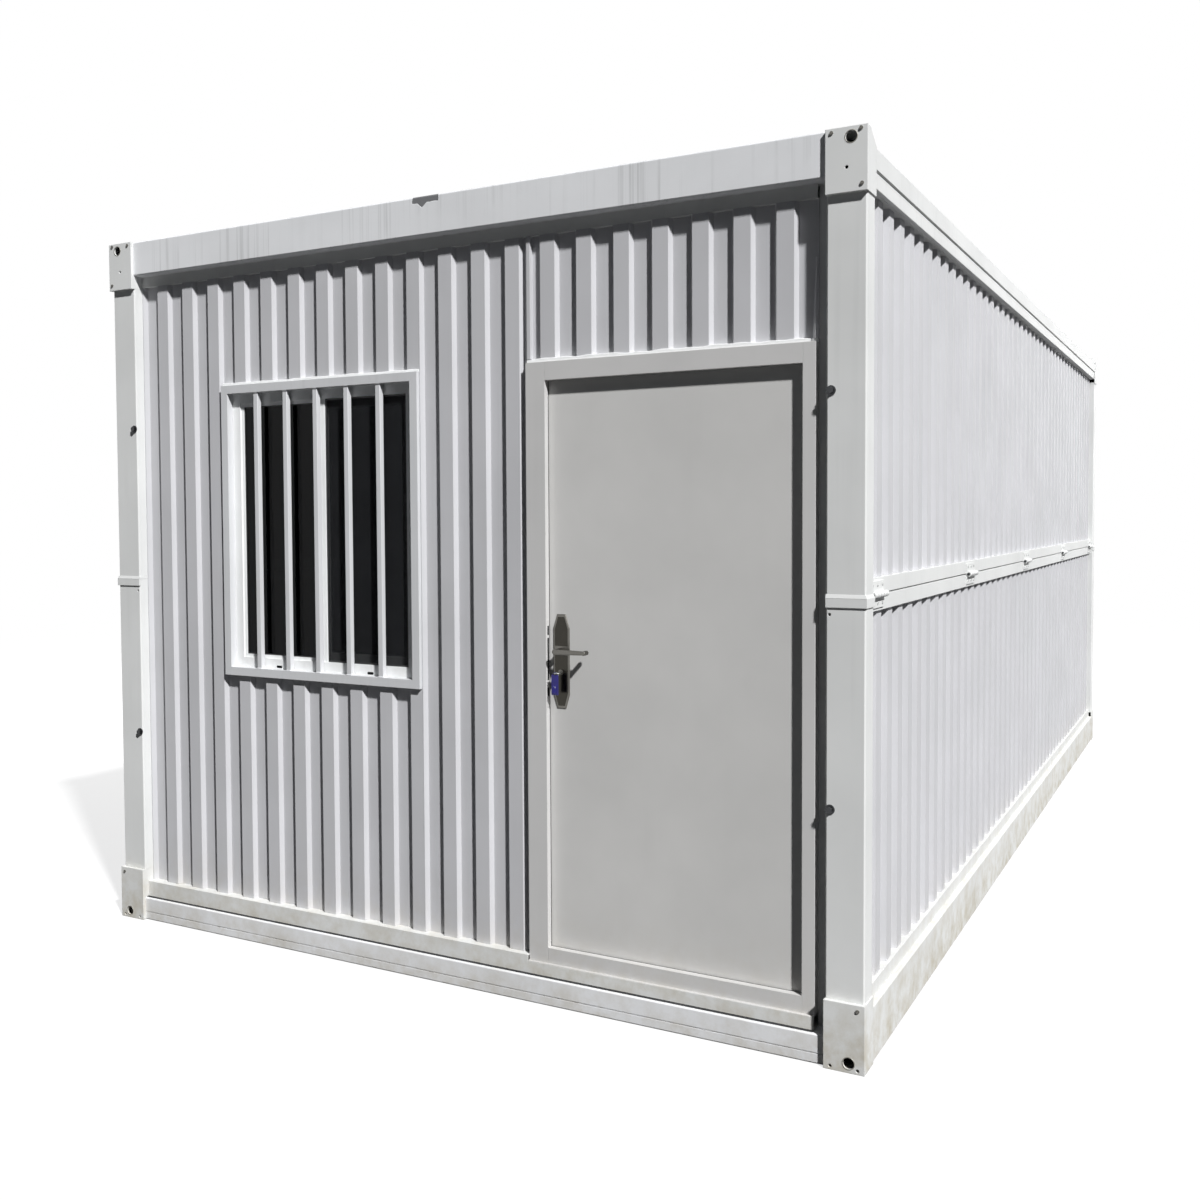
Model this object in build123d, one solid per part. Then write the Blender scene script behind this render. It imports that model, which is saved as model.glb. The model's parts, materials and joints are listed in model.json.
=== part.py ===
from build123d import *
from math import ceil, floor
import os

# A folding site cabin: steel corner frame, side walls that fold at mid height, ribbed panels,
# one end wall with a barred sliding window and a door that opens inwards. Millimetres, Z up.
# The door end faces -Y, and the origin is under the middle of the house on the ground.

# Overall size
house_width = 3000
house_length = 6000
house_height = 2670
cut_overrun = 20

# Corner blocks of folded plate, open towards the side rails, bored in the end face
block_width = 120
block_depth = 95
roof_block_height = 180
roof_block_top_depth = 30
base_block_height = 200
block_plate = 6
block_bore_diameter = 33
block_bore_side_inset = 46
block_bore_end_inset = 28
block_hole_diameter = 10
roof_block_hole_side_inset = 59
roof_block_hole_drop = 111
base_block_hole_height = 11
base_block_hole_insets = (20, 100)

# Base and roof rails, rectangular tubes
rail_wall = 4
frame_edge_bevel = 4
side_rail_setback = 2
base_side_rail_height = 166
base_end_rail_height = 88
base_end_rail_setback = 14
base_seam_height = 30
base_seam_width = 3
roof_side_rail_height = 65
roof_side_rail_drop = 40
roof_end_rail_height = 130
roof_end_rail_setback = 12

# Floor, ceiling and roof
floor_board_thickness = 18
joist_height = 60
joist_width = 50
joist_wall = 3
joist_count = 9
ceiling_thickness = 12
roof_sheet_thickness = 3
roof_rib_pitch = 200
roof_rib_flat = 70
roof_rib_flank = 30
roof_rib_depth = 20
roof_crest_drop = 6

# Ribbed wall panels
wall_thickness = 75
rib_pitch = 132.4
rib_flat = 54
rib_flank = 9
rib_depth = 17
front_rib_lead = 49
side_wall_setback = 30
end_wall_setback = 54

# Folding side walls
wall_rail_setback = 20
foot_rail_height = 45
seam_rail_height = 47
head_rail_height = 48
wall_rail_wall = 3
fold_gap = 4
fold_drop = 6
fold_hinge_count = 5
fold_hinge_end_offset = 185
fold_hinge_length = 150
fold_hinge_leaf_height = 40
fold_hinge_leaf = 4

# Posts, split at the fold, with a proud plate round the top of the lower one
post_setback = 15
post_side_setback = 4
post_wall = 4
post_plate_height = 28
post_plate_proud = 4
post_hole_diameter = 9
post_hole_inset = 11
post_hole_drop = 48

# End walls
end_foot_rail_setback = 30
end_foot_rail_height = 62
end_head_rail_height = 40
door_stile_width = 38
door_stile_setback = 75
over_door_height = 409
middle_sheet_width = 432

# Door frame and leaf
door_frame_setback = 40
door_clear_width = 856
door_left_jamb_width = 71
door_right_jamb_width = 39
door_head_height = 60
door_sill_notch = 20
door_sill_height = 52
door_stop_depth = 22
door_stop_lap = 8
door_edge_gap = 7
door_seal_gap = 5
door_leaf_thickness = 50

# Door hinges
door_hinge_count = 3
door_hinge_end_offset = 220
knuckle_count = 3
knuckle_radius = 8
knuckle_length = 34
knuckle_gap = 0.5
hinge_pin_radius = 4
hinge_pin_clearance = 0.08
hinge_barrel_offset = 9
hinge_plate = 3
hinge_plate_width = 19

# Lock
lock_plate_width = 60
lock_plate_height = 307
lock_plate_taper = 45
lock_plate_tip_width = 32
lock_plate_thickness = 3
lock_plate_bevel = 2
lock_edge_offset = 51
lock_centre_height = 949
lever_rise = 35
lever_spindle_radius = 5
lever_bush_clearance = 0.3
lever_bore_radius = 10
lever_neck_radius = 9
lever_neck_length = 38
lever_face_gap = 0.5
lever_length = 112
lever_tip_radius = 6
lever_grip_thickness = 11
lever_grip_bevel = 3
cylinder_radius = 9
cylinder_drop = 70
cylinder_proud = 6

# Window
window_left_offset = 422
window_height = 1091
guard_setback = 40
guard_face = 31
guard_depth = 30
window_frame_member = 68
window_frame_depth = 60
sash_meeting_stile = 36
outer_sash_edge = 12
inner_sash_edge = 34
sash_depth = 16
sash_track_inset = 6
sash_track_gap = 4
glass_thickness = 5

# Worked out from the sizes above
half_width = house_width / 2
half_length = house_length / 2
front = -half_length
post_inner = half_width - block_width
frame_rear = front + block_depth
side_face = half_width - side_wall_setback
side_lining = side_face - wall_thickness
end_face = front + end_wall_setback
end_lining = end_face + wall_thickness
end_foot_face = front + end_foot_rail_setback
door_frame_face = front + door_frame_setback
roof_rail_bottom = house_height - roof_end_rail_height
roof_side_top = house_height - roof_side_rail_drop
roof_side_bottom = roof_side_top - roof_side_rail_height
fold_height = (base_side_rail_height + roof_side_bottom) / 2 - fold_drop
floor_top = base_end_rail_height
end_sheet_bottom = floor_top + end_foot_rail_height
end_sheet_top = roof_rail_bottom - end_head_rail_height
door_outer_right = post_inner - door_stile_width
door_clear_right = door_outer_right - door_right_jamb_width
door_clear_left = door_clear_right - door_clear_width
door_outer_left = door_clear_left - door_left_jamb_width
door_sill_bottom = end_sheet_bottom - door_sill_notch
door_clear_bottom = door_sill_bottom + door_sill_height
door_outer_top = end_sheet_top - over_door_height
door_clear_top = door_outer_top - door_head_height
door_stop_back = door_frame_face + door_stop_depth
leaf_front = door_stop_back + door_seal_gap
leaf_back = leaf_front + door_leaf_thickness
leaf_left = door_clear_left - door_stop_lap
leaf_right = door_clear_right + door_stop_lap
leaf_bottom = door_clear_bottom - door_stop_lap
leaf_top = door_clear_top + door_stop_lap
window_left = -post_inner + window_left_offset
window_right = door_outer_left - middle_sheet_width
window_top = door_outer_top
window_bottom = window_top - window_height


def bar(x0, x1, y0, y1, z0, z1):
    """A rectangular solid between two opposite corners."""
    place = Pos((x0 + x1) / 2, (y0 + y1) / 2, (z0 + z1) / 2)
    return place * Box(x1 - x0, y1 - y0, z1 - z0)


def tube(x0, x1, y0, y1, z0, z1, wall, along, edge_bevel=0):
    """A rectangular tube with open ends along the named axis, its long outer edges bevelled if asked."""
    grow = {axis: cut_overrun if axis == along else -wall for axis in "xyz"}
    bore = bar(x0 - grow["x"], x1 + grow["x"], y0 - grow["y"], y1 + grow["y"],
               z0 - grow["z"], z1 + grow["z"])
    outside = bar(x0, x1, y0, y1, z0, z1)
    if edge_bevel:
        axis = {"x": Axis.X, "y": Axis.Y, "z": Axis.Z}[along]
        outside = chamfer(outside.edges().filter_by(axis), edge_bevel)
    return outside - bore


def round_bar(radius, length, along):
    """A cylinder centred on the origin along the named axis."""
    turn = {"x": Rot(0, 90, 0), "y": Rot(90, 0, 0), "z": Rot(0, 0, 0)}
    return turn[along] * Cylinder(radius, length)


def rib_line(run_start, run_end, rib_start, pitch, flat, flank, depth):
    """Points of a trapezoid rib line over a run: crests on 0, valleys on depth."""
    first = floor((run_start - rib_start) / pitch)
    last = ceil((run_end - rib_start) / pitch)
    points = []
    for n in range(first, last + 1):
        crest = rib_start + n * pitch
        points += [(crest, 0), (crest + flat, 0),
                   (crest + flat + flank, depth), (crest + pitch - flank, depth)]
    return points


def ribbed_panel(run_start, run_end, rib_start, height):
    """An upright panel along X, ribs towards -Y with crests on y = 0, its lining flat."""
    line = rib_line(run_start, run_end, rib_start, rib_pitch, rib_flat, rib_flank, rib_depth)
    lining = [(line[-1][0], wall_thickness), (line[0][0], wall_thickness)]
    plan = make_face(Polyline(*line, *lining, close=True))
    return extrude(plan, height) & bar(run_start, run_end, -cut_overrun,
                                       wall_thickness + cut_overrun, 0, height)


def both_sides(shape):
    """A shape on the right and its mirror image on the left."""
    return [shape, mirror(shape, about=Plane.YZ)]


def both_ends(shape):
    """A shape at the front and its mirror image at the rear."""
    return [shape, mirror(shape, about=Plane.XZ)]


def four_corners(shape):
    """A shape at the front right corner and at the other three."""
    return [copy for end in both_ends(shape) for copy in both_sides(end)]


def save(node, *shapes):
    """Writes one node, with all its solids, to its own file."""
    solids = [solid for shape in shapes for solid in shape.solids()]
    export_step(solids[0] if len(solids) == 1 else Compound(solids), f"parts/{node}.step")


def corner_block(z0, z1, bore_height, holes):
    """The front right corner block: five plates round a cavity, with a bore and holes in the end plate."""
    cavity = bar(post_inner + block_plate, half_width - block_plate, front + block_plate,
                 frame_rear + cut_overrun, z0 + block_plate, z1 - block_plate)
    block = bar(post_inner, half_width, front, frame_rear, z0, z1) - cavity
    block -= Pos(half_width - block_bore_side_inset, front, bore_height) * round_bar(
        block_bore_diameter / 2, cut_overrun, "y")
    for inset, height in holes:
        block -= Pos(half_width - inset, front, height) * round_bar(block_hole_diameter / 2, cut_overrun, "y")
    return block


def base_frame():
    """Corner blocks, rails, joists and floor."""
    holes = [(inset, base_block_hole_height) for inset in base_block_hole_insets]
    block = corner_block(0, base_block_height, block_bore_end_inset, holes)
    save("base_corner_blocks", *four_corners(block))
    side = tube(side_lining, half_width - side_rail_setback, frame_rear, -frame_rear,
                0, base_side_rail_height, rail_wall, "y", frame_edge_bevel)
    save("base_side_rails", *both_sides(side))
    face = front + base_end_rail_setback
    end = tube(-post_inner, post_inner, face, frame_rear, 0, base_end_rail_height,
               rail_wall, "x", frame_edge_bevel)
    seam = bar(-post_inner - cut_overrun, post_inner + cut_overrun, face - cut_overrun,
               face + rail_wall / 2, base_seam_height, base_seam_height + base_seam_width)
    save("base_end_rails", *both_ends(end - seam))
    board_bottom = floor_top - floor_board_thickness
    save("floor_board", bar(-side_lining, side_lining, frame_rear, -frame_rear,
                            board_bottom, floor_top))
    joist = tube(-side_lining, side_lining, -joist_width / 2, joist_width / 2,
                 board_bottom - joist_height, board_bottom, joist_wall, "x")
    pitch = -2 * frame_rear / (joist_count + 1)
    places = [frame_rear + (n + 1) * pitch for n in range(joist_count)]
    save("floor_joists", *[Pos(0, y, 0) * joist for y in places])


def roof_frame():
    """Corner blocks, rails, ceiling and the ribbed roof sheet."""
    hole = (roof_block_hole_side_inset, house_height - roof_block_hole_drop)
    block = corner_block(house_height - roof_block_height, house_height,
                         house_height - block_bore_end_inset, [hole])
    slope = make_face(Plane.YZ * Polyline((front + roof_block_top_depth, house_height),
                                          (frame_rear, roof_side_top),
                                          (frame_rear, house_height), close=True))
    block -= extrude(slope, house_width, both=True)
    save("roof_corner_blocks", *four_corners(block))
    side = tube(side_lining, half_width - side_rail_setback, frame_rear, -frame_rear,
                roof_side_bottom, roof_side_top, rail_wall, "y", frame_edge_bevel)
    save("roof_side_rails", *both_sides(side))
    end = tube(-post_inner, post_inner, front + roof_end_rail_setback, frame_rear,
               roof_rail_bottom, house_height, rail_wall, "x", frame_edge_bevel)
    save("roof_end_rails", *both_ends(end))
    save("ceiling_board", bar(-side_lining, side_lining, frame_rear, -frame_rear,
                              roof_rail_bottom, roof_rail_bottom + ceiling_thickness))
    line = rib_line(frame_rear, -frame_rear, frame_rear, roof_rib_pitch, roof_rib_flat,
                    roof_rib_flank, roof_rib_depth)
    crest = roof_side_top - roof_crest_drop
    upper = [(y, crest - drop) for y, drop in line]
    lower = [(y, z - roof_sheet_thickness) for y, z in reversed(upper)]
    section = make_face(Plane.YZ * Polyline(*upper, *lower, close=True))
    sheet = extrude(section, side_lining, both=True)
    limits = bar(-side_lining, side_lining, frame_rear, -frame_rear, roof_side_bottom, house_height)
    save("roof_sheet", sheet & limits)


def side_walls():
    """Upper and lower folding walls with their rails and the hinges on the fold."""
    rail_face = half_width - wall_rail_setback
    lower_top = fold_height - fold_gap / 2
    upper_bottom = fold_height + fold_gap / 2
    spans = {
        "lower": (base_side_rail_height, foot_rail_height, lower_top, seam_rail_height),
        "upper": (upper_bottom, seam_rail_height, roof_side_bottom, head_rail_height),
    }
    for level, (bottom, bottom_rail, top, top_rail) in spans.items():
        rails = [
            tube(side_lining, rail_face, frame_rear, -frame_rear, z0, z1, wall_rail_wall, "y")
            for z0, z1 in ((bottom, bottom + bottom_rail), (top - top_rail, top))
        ]
        save(f"{level}_wall_rails", *[copy for rail in rails for copy in both_sides(rail)])
        height = top - top_rail - bottom - bottom_rail
        panel = ribbed_panel(frame_rear, -frame_rear, frame_rear, height)
        right = Pos(side_face, 0, bottom + bottom_rail) * Rot(0, 0, 90) * panel
        for side, shape in zip(("right", "left"), both_sides(right)):
            save(f"{side}_{level}_sheet", shape)
    hinge = fold_hinge(rail_face)
    first = front + fold_hinge_end_offset
    pitch = -2 * first / (fold_hinge_count - 1)
    hinges = [Pos(0, first + n * pitch, 0) * hinge for n in range(fold_hinge_count)]
    save("fold_hinges", *[copy for one in hinges for copy in both_sides(one)])


def fold_hinge(rail_face):
    """A right hand fold hinge: two leaves on the seam rails and a barrel outside the seam."""
    radius = wall_rail_setback / 2
    half = fold_hinge_length / 2
    barrel = Pos(rail_face + radius, 0, fold_height) * round_bar(radius, fold_hinge_length, "y")
    leaves = bar(rail_face, rail_face + fold_hinge_leaf, -half, half,
                 fold_height - fold_hinge_leaf_height, fold_height + fold_hinge_leaf_height)
    return barrel + leaves


def posts():
    """Split corner posts: the lower one carries a proud plate that the upper one stands on."""
    face = front + post_setback
    outside = half_width - post_side_setback
    meeting = fold_height - fold_gap / 2
    lower = tube(post_inner, outside, face, frame_rear, base_block_height, meeting,
                 post_wall, "z", frame_edge_bevel)
    plate_bottom = meeting - post_plate_height
    inside = bar(post_inner + post_wall, outside - post_wall, face + post_wall, frame_rear - post_wall,
                 plate_bottom - cut_overrun, meeting + cut_overrun)
    plate = bar(post_inner, outside + post_plate_proud, face - post_plate_proud, frame_rear,
                plate_bottom, meeting)
    hole = Pos(post_inner + post_hole_inset, face, meeting - post_hole_drop) * round_bar(
        post_hole_diameter / 2, cut_overrun, "y")
    save("lower_posts", *four_corners(lower + (plate - inside) - hole))
    upper = tube(post_inner, outside, face, frame_rear, meeting + fold_gap,
                 house_height - roof_block_height, post_wall, "z", frame_edge_bevel)
    save("upper_posts", *four_corners(upper))


def end_rails(left, right):
    """Foot and head rails of an end wall at the front."""
    foot = tube(left, right, end_foot_face, end_lining, floor_top, end_sheet_bottom,
                wall_rail_wall, "x")
    head = tube(left, right, end_face, end_lining, end_sheet_top, roof_rail_bottom,
                wall_rail_wall, "x")
    return foot, head


def front_wall():
    """Ribbed sheets round the window and the door, their rails and the stile beside the door."""
    height = end_sheet_top - end_sheet_bottom
    whole = Pos(0, end_face, end_sheet_bottom) * ribbed_panel(
        -post_inner, door_outer_right, -post_inner - front_rib_lead, height)
    areas = {
        "front_left_sheet": (-post_inner, window_left, end_sheet_bottom, end_sheet_top),
        "window_head_sheet": (window_left, window_right, window_top, end_sheet_top),
        "window_apron_sheet": (window_left, window_right, end_sheet_bottom, window_bottom),
        "front_middle_sheet": (window_right, door_outer_left, end_sheet_bottom, end_sheet_top),
        "door_head_sheet": (door_outer_left, door_outer_right, door_outer_top, end_sheet_top),
    }
    for node, (x0, x1, z0, z1) in areas.items():
        area = bar(x0, x1, end_face - cut_overrun, end_lining + cut_overrun, z0, z1)
        save(node, whole & area)
    foot, head = end_rails(-post_inner, door_outer_right)
    notch = bar(door_outer_left, door_outer_right + cut_overrun, end_foot_face - cut_overrun,
                end_lining + cut_overrun, door_sill_bottom, end_sheet_bottom + cut_overrun)
    save("front_foot_rail", foot - notch)
    save("front_head_rail", head)
    save("door_stile", bar(door_outer_right, post_inner, front + door_stile_setback, end_lining,
                           floor_top, roof_rail_bottom))


def rear_wall():
    """A plain ribbed end wall with its two rails."""
    height = end_sheet_top - end_sheet_bottom
    panel = Pos(0, end_face, end_sheet_bottom) * ribbed_panel(
        -post_inner, post_inner, -post_inner - front_rib_lead, height)
    save("rear_sheet", mirror(panel, about=Plane.XZ))
    rails = end_rails(-post_inner, post_inner)
    save("rear_wall_rails", *[mirror(rail, about=Plane.XZ) for rail in rails])


def door_frame():
    """Jambs, head and sill with a stop in front of the leaf and a rebate round its edges."""
    rebate = door_stop_lap + door_edge_gap
    pocket = bar(door_clear_left - rebate, door_clear_right + rebate, door_stop_back,
                 leaf_back + cut_overrun, door_clear_bottom - rebate, door_clear_top + rebate)
    jambs = [bar(x0, x1, door_frame_face, leaf_back, door_sill_bottom, door_outer_top) - pocket
             for x0, x1 in ((door_outer_left, door_clear_left), (door_clear_right, door_outer_right))]
    save("door_jambs", *jambs)
    for node, z0, z1 in (("door_sill", door_sill_bottom, door_clear_bottom),
                         ("door_head", door_clear_top, door_outer_top)):
        member = bar(door_clear_left, door_clear_right, door_frame_face, leaf_back, z0, z1)
        save(node, member - pocket)


def door_hinges():
    """Butt hinges inside the right jamb: outer knuckles and pin on the jamb, middle one on the leaf."""
    axis_x = (leaf_right + door_clear_right + door_stop_lap + door_edge_gap) / 2
    axis_y = leaf_back + hinge_barrel_offset
    span = leaf_top - leaf_bottom - 2 * door_hinge_end_offset
    pitch = span / (door_hinge_count - 1)
    half = knuckle_count * knuckle_length / 2
    reach = knuckle_radius + hinge_pin_clearance
    frame_plate = bar(reach, reach + hinge_plate_width, -hinge_barrel_offset,
                      hinge_plate - hinge_barrel_offset, -half, half)
    leaf_plate = mirror(frame_plate, about=Plane.YZ)
    pin = round_bar(hinge_pin_radius, 2 * half, "z")
    web = bar(0, reach, -hinge_barrel_offset, hinge_plate - hinge_barrel_offset,
              -knuckle_length / 2, knuckle_length / 2)
    outer = round_bar(knuckle_radius, knuckle_length, "z") + web
    middle_length = knuckle_length - 2 * knuckle_gap
    middle = round_bar(knuckle_radius, middle_length, "z") + mirror(
        bar(0, reach, -hinge_barrel_offset, hinge_plate - hinge_barrel_offset,
            -middle_length / 2, middle_length / 2), about=Plane.YZ)
    bore = round_bar(hinge_pin_radius + hinge_pin_clearance, knuckle_length, "z")
    frame_half = frame_plate + pin
    for rise in (-knuckle_length, knuckle_length):
        frame_half += Pos(0, 0, rise) * outer
    leaf_half = leaf_plate + (middle - bore)
    places = [Pos(axis_x, axis_y, leaf_bottom + door_hinge_end_offset + n * pitch)
              for n in range(door_hinge_count)]
    save("door_frame_hinges", *[place * frame_half for place in places])
    save("door_leaf_hinges", *[place * leaf_half for place in places])


def door_leaf():
    """The flush leaf, bored for the lever's spindle."""
    lever_x = leaf_left + lock_edge_offset
    lever_z = leaf_bottom + lock_centre_height + lever_rise
    leaf = bar(leaf_left, leaf_right, leaf_front, leaf_back, leaf_bottom, leaf_top)
    bore = Pos(lever_x, (leaf_front + leaf_back) / 2, lever_z) * round_bar(
        lever_bore_radius, door_leaf_thickness + 2 * cut_overrun, "y")
    save("door_leaf", leaf - bore)
    lock(lever_x, lever_z)


def lock(lever_x, lever_z):
    """Tapered lock plates on both faces with a cylinder, and the pair of levers on one spindle."""
    middle = (leaf_front + leaf_back) / 2
    plate_z = lever_z - lever_rise
    w, tip, h = lock_plate_width / 2, lock_plate_tip_width / 2, lock_plate_height / 2
    shoulder = h - lock_plate_taper
    outline = Polyline((tip, h), (w, shoulder), (w, -shoulder), (tip, -h), (-tip, -h),
                       (-w, -shoulder), (-w, shoulder), (-tip, h), close=True)
    plate = extrude(make_face(Plane.XZ * outline), lock_plate_thickness, dir=(0, -1, 0))
    plate = chamfer(plate.faces().sort_by(Axis.Y)[0].edges(), lock_plate_bevel)
    plate += Pos(0, -(lock_plate_thickness + cylinder_proud) / 2, lever_rise - cylinder_drop) * round_bar(
        cylinder_radius, lock_plate_thickness + cylinder_proud, "y")
    plate -= Pos(0, 0, lever_rise) * round_bar(
        lever_spindle_radius + lever_bush_clearance, 2 * cut_overrun, "y")
    outer_plate = Pos(lever_x, leaf_front, plate_z) * plate
    leaf_middle = Plane.XZ.offset(-middle)
    save("lock_plates", outer_plate, mirror(outer_plate, about=leaf_middle))
    neck_start = leaf_front - lock_plate_thickness - lever_face_gap
    neck_end = neck_start - lever_neck_length
    neck = Pos(lever_x, (neck_start + neck_end) / 2, lever_z) * round_bar(
        lever_neck_radius, lever_neck_length, "y")
    tip = Pos(lever_length - lever_tip_radius, 0) * Circle(lever_tip_radius)
    grip_face = make_hull(Circle(lever_neck_radius).edges() + tip.edges())
    grip = extrude(Plane.XZ * grip_face, lever_grip_thickness, dir=(0, -1, 0))
    grip = chamfer(grip.faces().sort_by(Axis.Y)[0].edges(), lever_grip_bevel)
    grip = Pos(lever_x, neck_end, lever_z) * grip
    lever = neck + grip
    spindle = Pos(lever_x, middle, lever_z) * round_bar(
        lever_spindle_radius, 2 * (middle - neck_start), "y")
    save("door_lever", lever + spindle + mirror(lever, about=leaf_middle))


def mitred_bar(outer_start, outer_end, inner_end, inner_start, face):
    """A guard member between two mitres, its outline seen from the front."""
    outline = Plane.XZ.offset(-face) * Polyline(outer_start, outer_end, inner_end, inner_start, close=True)
    return extrude(make_face(outline), guard_depth, dir=(0, 1, 0))


def window():
    """The guard frame that stands proud of the ribs, the sliding window and its glass."""
    face = front + guard_setback
    back = face + guard_depth
    save("window_guard_stiles", *[
        mitred_bar((outer, window_bottom), (outer, window_top), (inner, window_top - guard_face),
                   (inner, window_bottom + guard_face), face)
        for outer, inner in ((window_left, window_left + guard_face),
                             (window_right, window_right - guard_face))])
    save("window_guard_rails", *[
        mitred_bar((window_left, outer), (window_right, outer), (window_right - guard_face, inner),
                   (window_left + guard_face, inner), face)
        for outer, inner in ((window_bottom, window_bottom + guard_face),
                             (window_top, window_top - guard_face))])
    left, right = window_left + window_frame_member, window_right - window_frame_member
    bottom, top = window_bottom + window_frame_member, window_top - window_frame_member
    frame = bar(window_left, window_right, back, back + window_frame_depth, window_bottom, window_top)
    save("window_frame", frame - bar(left, right, back - cut_overrun,
                                     back + window_frame_depth + cut_overrun, bottom, top))
    middle = (left + right) / 2
    outer_track = back + sash_track_inset
    inner_track = outer_track + sash_depth + sash_track_gap
    sashes, panes = [], []
    lap = sash_meeting_stile / 2
    for x0, x1, light, edge, track in (
            (left, middle + lap, (left + outer_sash_edge, middle - lap), outer_sash_edge, outer_track),
            (middle - lap, right, (middle + lap, right - inner_sash_edge), inner_sash_edge, inner_track)):
        height = (bottom + edge, top - edge)
        sashes.append(bar(x0, x1, track, track + sash_depth, bottom, top)
                      - bar(*light, track - cut_overrun, track + sash_depth + cut_overrun, *height))
        pane = track + (sash_depth - glass_thickness) / 2
        panes.append(bar(*light, pane, pane + glass_thickness, *height))
    save("window_sashes", *sashes)
    save("window_glass", *panes)


os.makedirs("parts", exist_ok=True)
base_frame()
roof_frame()
side_walls()
posts()
front_wall()
rear_wall()
door_frame()
door_hinges()
door_leaf()
window()
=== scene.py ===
import json
import math

import bmesh
import bpy
from bpy.props import FloatProperty, FloatVectorProperty, IntProperty, PointerProperty
from mathutils import Matrix, Vector


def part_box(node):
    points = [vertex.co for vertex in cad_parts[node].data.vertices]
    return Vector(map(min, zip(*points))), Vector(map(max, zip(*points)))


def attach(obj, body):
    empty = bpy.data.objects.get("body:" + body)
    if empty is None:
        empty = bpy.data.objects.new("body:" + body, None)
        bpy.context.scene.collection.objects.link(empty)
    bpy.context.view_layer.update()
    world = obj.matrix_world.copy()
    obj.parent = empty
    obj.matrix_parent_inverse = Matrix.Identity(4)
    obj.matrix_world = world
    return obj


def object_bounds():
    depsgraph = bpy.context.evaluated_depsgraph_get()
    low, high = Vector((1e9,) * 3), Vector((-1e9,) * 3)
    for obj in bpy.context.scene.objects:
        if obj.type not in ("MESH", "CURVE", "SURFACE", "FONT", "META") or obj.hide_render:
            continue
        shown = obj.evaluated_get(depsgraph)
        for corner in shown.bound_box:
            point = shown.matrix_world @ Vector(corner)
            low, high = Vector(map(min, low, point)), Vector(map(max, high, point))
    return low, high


bl_info = {
    "name": "Folding site house",
    "version": (1, 0, 0),
    "blender": (4, 5, 0),
    "location": "View3D > Sidebar > House",
    "description": "Finishes, fittings and a studio for a folding steel site house",
    "category": "Object",
}

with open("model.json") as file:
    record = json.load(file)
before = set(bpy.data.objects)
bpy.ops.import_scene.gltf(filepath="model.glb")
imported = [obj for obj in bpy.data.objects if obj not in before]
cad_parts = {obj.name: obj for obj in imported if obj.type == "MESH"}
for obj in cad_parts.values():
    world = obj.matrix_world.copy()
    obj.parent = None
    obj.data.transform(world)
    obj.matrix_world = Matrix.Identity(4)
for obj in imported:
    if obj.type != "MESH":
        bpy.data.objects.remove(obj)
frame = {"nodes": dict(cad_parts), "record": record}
CAD_LOW, CAD_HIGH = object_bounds()

# Places that the frame gives, in metres: X to the right, the door end towards -Y, Z up
MM = 0.001
FRONT = CAD_LOW.y
HALF_WIDTH = CAD_HIGH.x
TOP = CAD_HIGH.z
POST_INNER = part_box("roof_end_rails")[1].x
POST_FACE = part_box("upper_posts")[0].y
RIB_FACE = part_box("front_left_sheet")[0].y
CLEAR_LOW, CLEAR_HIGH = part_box("door_head")[0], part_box("door_head")[1]
LEAF_LOW, LEAF_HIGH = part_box("door_leaf")
LOCK_AXIS = next(Vector(joint["pos_m"]) for joint in frame["record"]["behaviour"]["joints"]
                 if joint["name"] == "lever_turn")
ENDS = (-1, 1)
SIDES = (-1, 1)
SHARP_ANGLE = math.radians(20)


def linear(code):
    """A hex sRGB colour as linear red, green, blue and alpha."""
    parts = [int(code[at:at + 2], 16) / 255 for at in (1, 3, 5)]
    return tuple(c / 12.92 if c <= 0.04045 else ((c + 0.055) / 1.055) ** 2.4 for c in parts) + (1.0,)


def colour(name, code, description):
    """A colour setting with a hex default."""
    return FloatVectorProperty(name=name, description=description, default=linear(code),
                               subtype="COLOR", size=4, min=0.0, max=1.0)


def length(name, millimetres, description):
    """A length setting with its default in millimetres."""
    return FloatProperty(name=name, description=description, default=millimetres * MM, unit="LENGTH")


class FinishSettings(bpy.types.PropertyGroup):
    sheet: colour("Wall sheet", "#CACACD", "Coil coating of the ribbed wall sheets")
    enamel: colour("Frame enamel", "#E4E5E4", "Enamel on the posts, wall rails and corner blocks")
    rail: colour("Rail enamel", "#EEEFF1", "Enamel on the roof's and the base's end rails")
    door: colour("Door paint", "#D3D2D0", "Powder coat of the door leaf")
    door_frame: colour("Door frame", "#D1D0CF", "Powder coat of the door frame")
    guard: colour("Window guard", "#D8D9DB", "Enamel on the window's guard and bars")
    window: colour("Window paint", "#F3F4F4", "Gloss coat of the window's frame and sashes")
    roof: colour("Roof sheet", "#BFC1C3", "Coil coating of the roof")
    lining: colour("Lining", "#E4E4E0", "Paint of the ceiling board")
    board: colour("Floor board", "#8C7B66", "Sealed floor board")
    dust: colour("Dust", "#B3A88E", "Ground dust on the lowest parts")
    grime: colour("Grime", "#8E8F8E", "Thin grey film that rain leaves")
    # lock colour: dark, a painted reflection of dark surroundings on polished steel
    lock: colour("Lock metal", "#45433E", "Polished steel with painted dark reflections of the lock")
    tag: colour("Key tag", "#15115A", "Plastic key tag")


class WindowSettings(bpy.types.PropertyGroup):
    bar_count: IntProperty(name="Bars", description="Number of guard bars", default=5, min=1)
    bar_size: length("Bar size", 20, "Side of a square guard bar")
    bar_pitch: length("Bar pitch", 141, "Distance between guard bars")
    bar_setback: length("Bar setback", 3, "From the guard's face to the bars")
    guard_face: length("Guard face", 31, "Face width of the guard's members")
    gasket: length("Gasket", 4, "Width of the rubber round the panes")
    weep_width: length("Weep slot", 27, "Width of a drain slot in the track")
    weep_height: length("Weep slot height", 9, "Height of a drain slot in the track")
    sealant: length("Sealant", 10, "Width of the sealant over the guard")
    screen_rim: length("Screen rim", 6, "Width of the fly screen's rim")


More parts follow.
